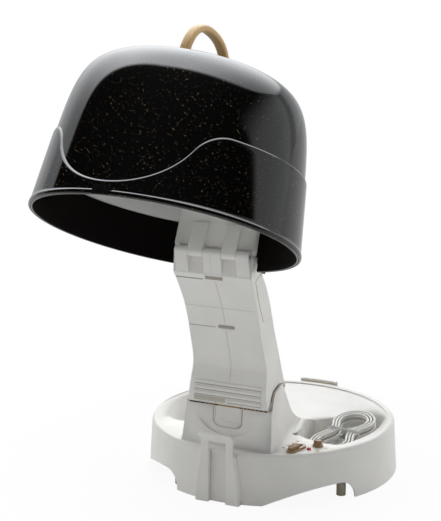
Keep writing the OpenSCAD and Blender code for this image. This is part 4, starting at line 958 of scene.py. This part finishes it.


# a bar of painted shade in each of the arm's windows
made("arm_windows", together([window_shade_bar(290.8, -10, 13), window_shade_bar(222.6, -8, 14)]), "arm",
     moulded("shade of a window", (0.44, 0.41, 0.34), 0.6, grain_mm=1.2, depth_mm=0.2))
# the tan lines at the arm panel's edges are painted shade of a seam
panel_edges = []
for side in (-1, 1):
    points = []
    for y, z in ((-156.3, 295.2), (-168, 288.5), (-167, 285), (-153.7, 256), (-141, 232.2)):
        half = 49 + 5.5 * max(0, (z - 222) / 103) ** 2
        points.append(Vector((side * (half + 0.02), y, z)))
    panel_edges.append(bar(smooth_line(points, 3), 0.12, 0.5, Vector((0.05, -0.4, 0.9))))
made("arm_panel_edges", together(panel_edges), "arm", seam_shade_tan)

# the seam where the arm's foot meets the pedestal: a dark bar of painted shade in the gap, with gold dashes on it
SEAM_Z = 117.1
seam_y = on_front(base_skin, 40, 115.8).y + 0.1
made("seam_shade", bar([(x, seam_y, SEAM_Z) for x in (-54, -30, 0, 30, 54)], 0.5, 0.9), "base", painted_gap_shade)
dashes = [(-14, 16)] + [(x, x + 3) for x in (-33, -27.5, -22)] + [(x, x + 2.9) for x in (19.5, 25, 30.5, 36, 41.5, 47)]
made("seam_gold", together([bar([(a, seam_y, SEAM_Z), (b, seam_y, SEAM_Z)], 0.65, 0.95) for a, b in dashes]), "base", gap_gold)
# along the pedestal's sides, the seam's gap drawn as a tan bar of painted shade
seam_line = [(-136.5, 117.2), (-132, 117.4), (-124, 131.8), (-118, 137.8), (-99, 142.6)]
sides = []
for side in (-1, 1):
    points = []
    for y, z in seam_line:
        half = 62.5 + (55.5 - 62.5) * (z - 66) / 76
        points.append((side * (half - 0.3), y, z))
    sides.append(bar(points, 0.5, 0.7, Vector((0.1, -1, 0.3))))
made("seam_sides", together(sides), "base", seam_shade_tan)


def latch_round(half, foot, round_mm, top=116.0, reach=2.0):
    """A line down, round and up again on the pedestal's front, round the latch button."""
    flat = [Vector((-half, top)), Vector((-half, foot + round_mm))]
    flat += [Vector((-half + round_mm * (1 - math.cos(math.radians(a))), foot + round_mm * (1 - math.sin(math.radians(a)))))
             for a in (15, 30, 45, 60, 75, 90)]
    flat += [Vector((-p.x, p.y)) for p in reversed(flat)]
    line = []
    for a, b in zip(flat, flat[1:]):
        count = max(1, math.ceil((b - a).length / reach))
        line += [a.lerp(b, i / count) for i in range(count)]
    return [on_front(base_skin, p.x, p.y) for p in line + [flat[-1]]]


FRONTWARD = Vector((0.02, -1, 0.13))
# the line round the latch button is painted shade of its gap; the ledge inside it is real
made("latch_outline", bar(latch_round(19.9, 90.0, 9), 0.55, 0.3, FRONTWARD), "base", groove_shade_grey)
made("latch_ledge", bar(latch_round(18.4, 91.5, 8), 1.0, 0.3, FRONTWARD), "base", finishes["ivory_body"])

# the plain gold ticks by the switches, the round of the lamp, the knob's ring
TOP_Z = 66
slide_way = Vector((0.26, 0.966, 0))
ticks = [
    bar([Vector((x, y, TOP_Z + 0.08)) - slide_way * reach, Vector((x, y, TOP_Z + 0.08)) + slide_way * reach], 2.0, 0.14)
    for x, y, reach in ((66, -115, 1.4), (68, -105, 2.2), (71, -96, 2.6), (73, -87, 2.6), (110, -109, 2.4), (115, -96, 2.4))
]
made("gold_ticks", together(ticks), "base", gold_print)


def ball(at, radius, flat=1.0):
    bm = bmesh.new()
    bmesh.ops.create_uvsphere(bm, u_segments=32, v_segments=16, radius=radius * MM)
    bmesh.ops.scale(bm, vec=(1, 1, flat), verts=bm.verts)
    bmesh.ops.translate(bm, vec=Vector(at) * MM, verts=bm.verts)
    return bm


made("lamp_round", ball((98, -109, TOP_Z + 1.3), 2.7, 0.8), "base", finishes["red_lens"])
knob_top = skin_of("mode_knob").ray_cast(Vector((103, -92 + 3.5, 300)) * MM, Vector((0, 0, -1)))[0]
# the knob's ring is a thin dark line of painted shade round its top
made("knob_ring", bar([(103 + 4.6 * math.cos(math.radians(a)), -92 + 4.6 * math.sin(math.radians(a)), knob_top.z / MM)
                       for a in range(0, 361, 15)], 0.25, 0.2), "knob", painted_gap_shade)

# the brown line under the rear rest: painted shadow of the gap beneath it
rest_points = [v.co / MM for v in frame["nodes"]["rear_rest"].data.vertices]
rest_top = max(p.z for p in rest_points)
rest_front = min(p.y for p in rest_points if p.z > rest_top - 1)
made("rest_shadow_line", bar([(x, rest_front, rest_top - 2.9) for x in (-27.5, 0, 27.5)], 0.15, 0.4), "base", seam_shade_tan)
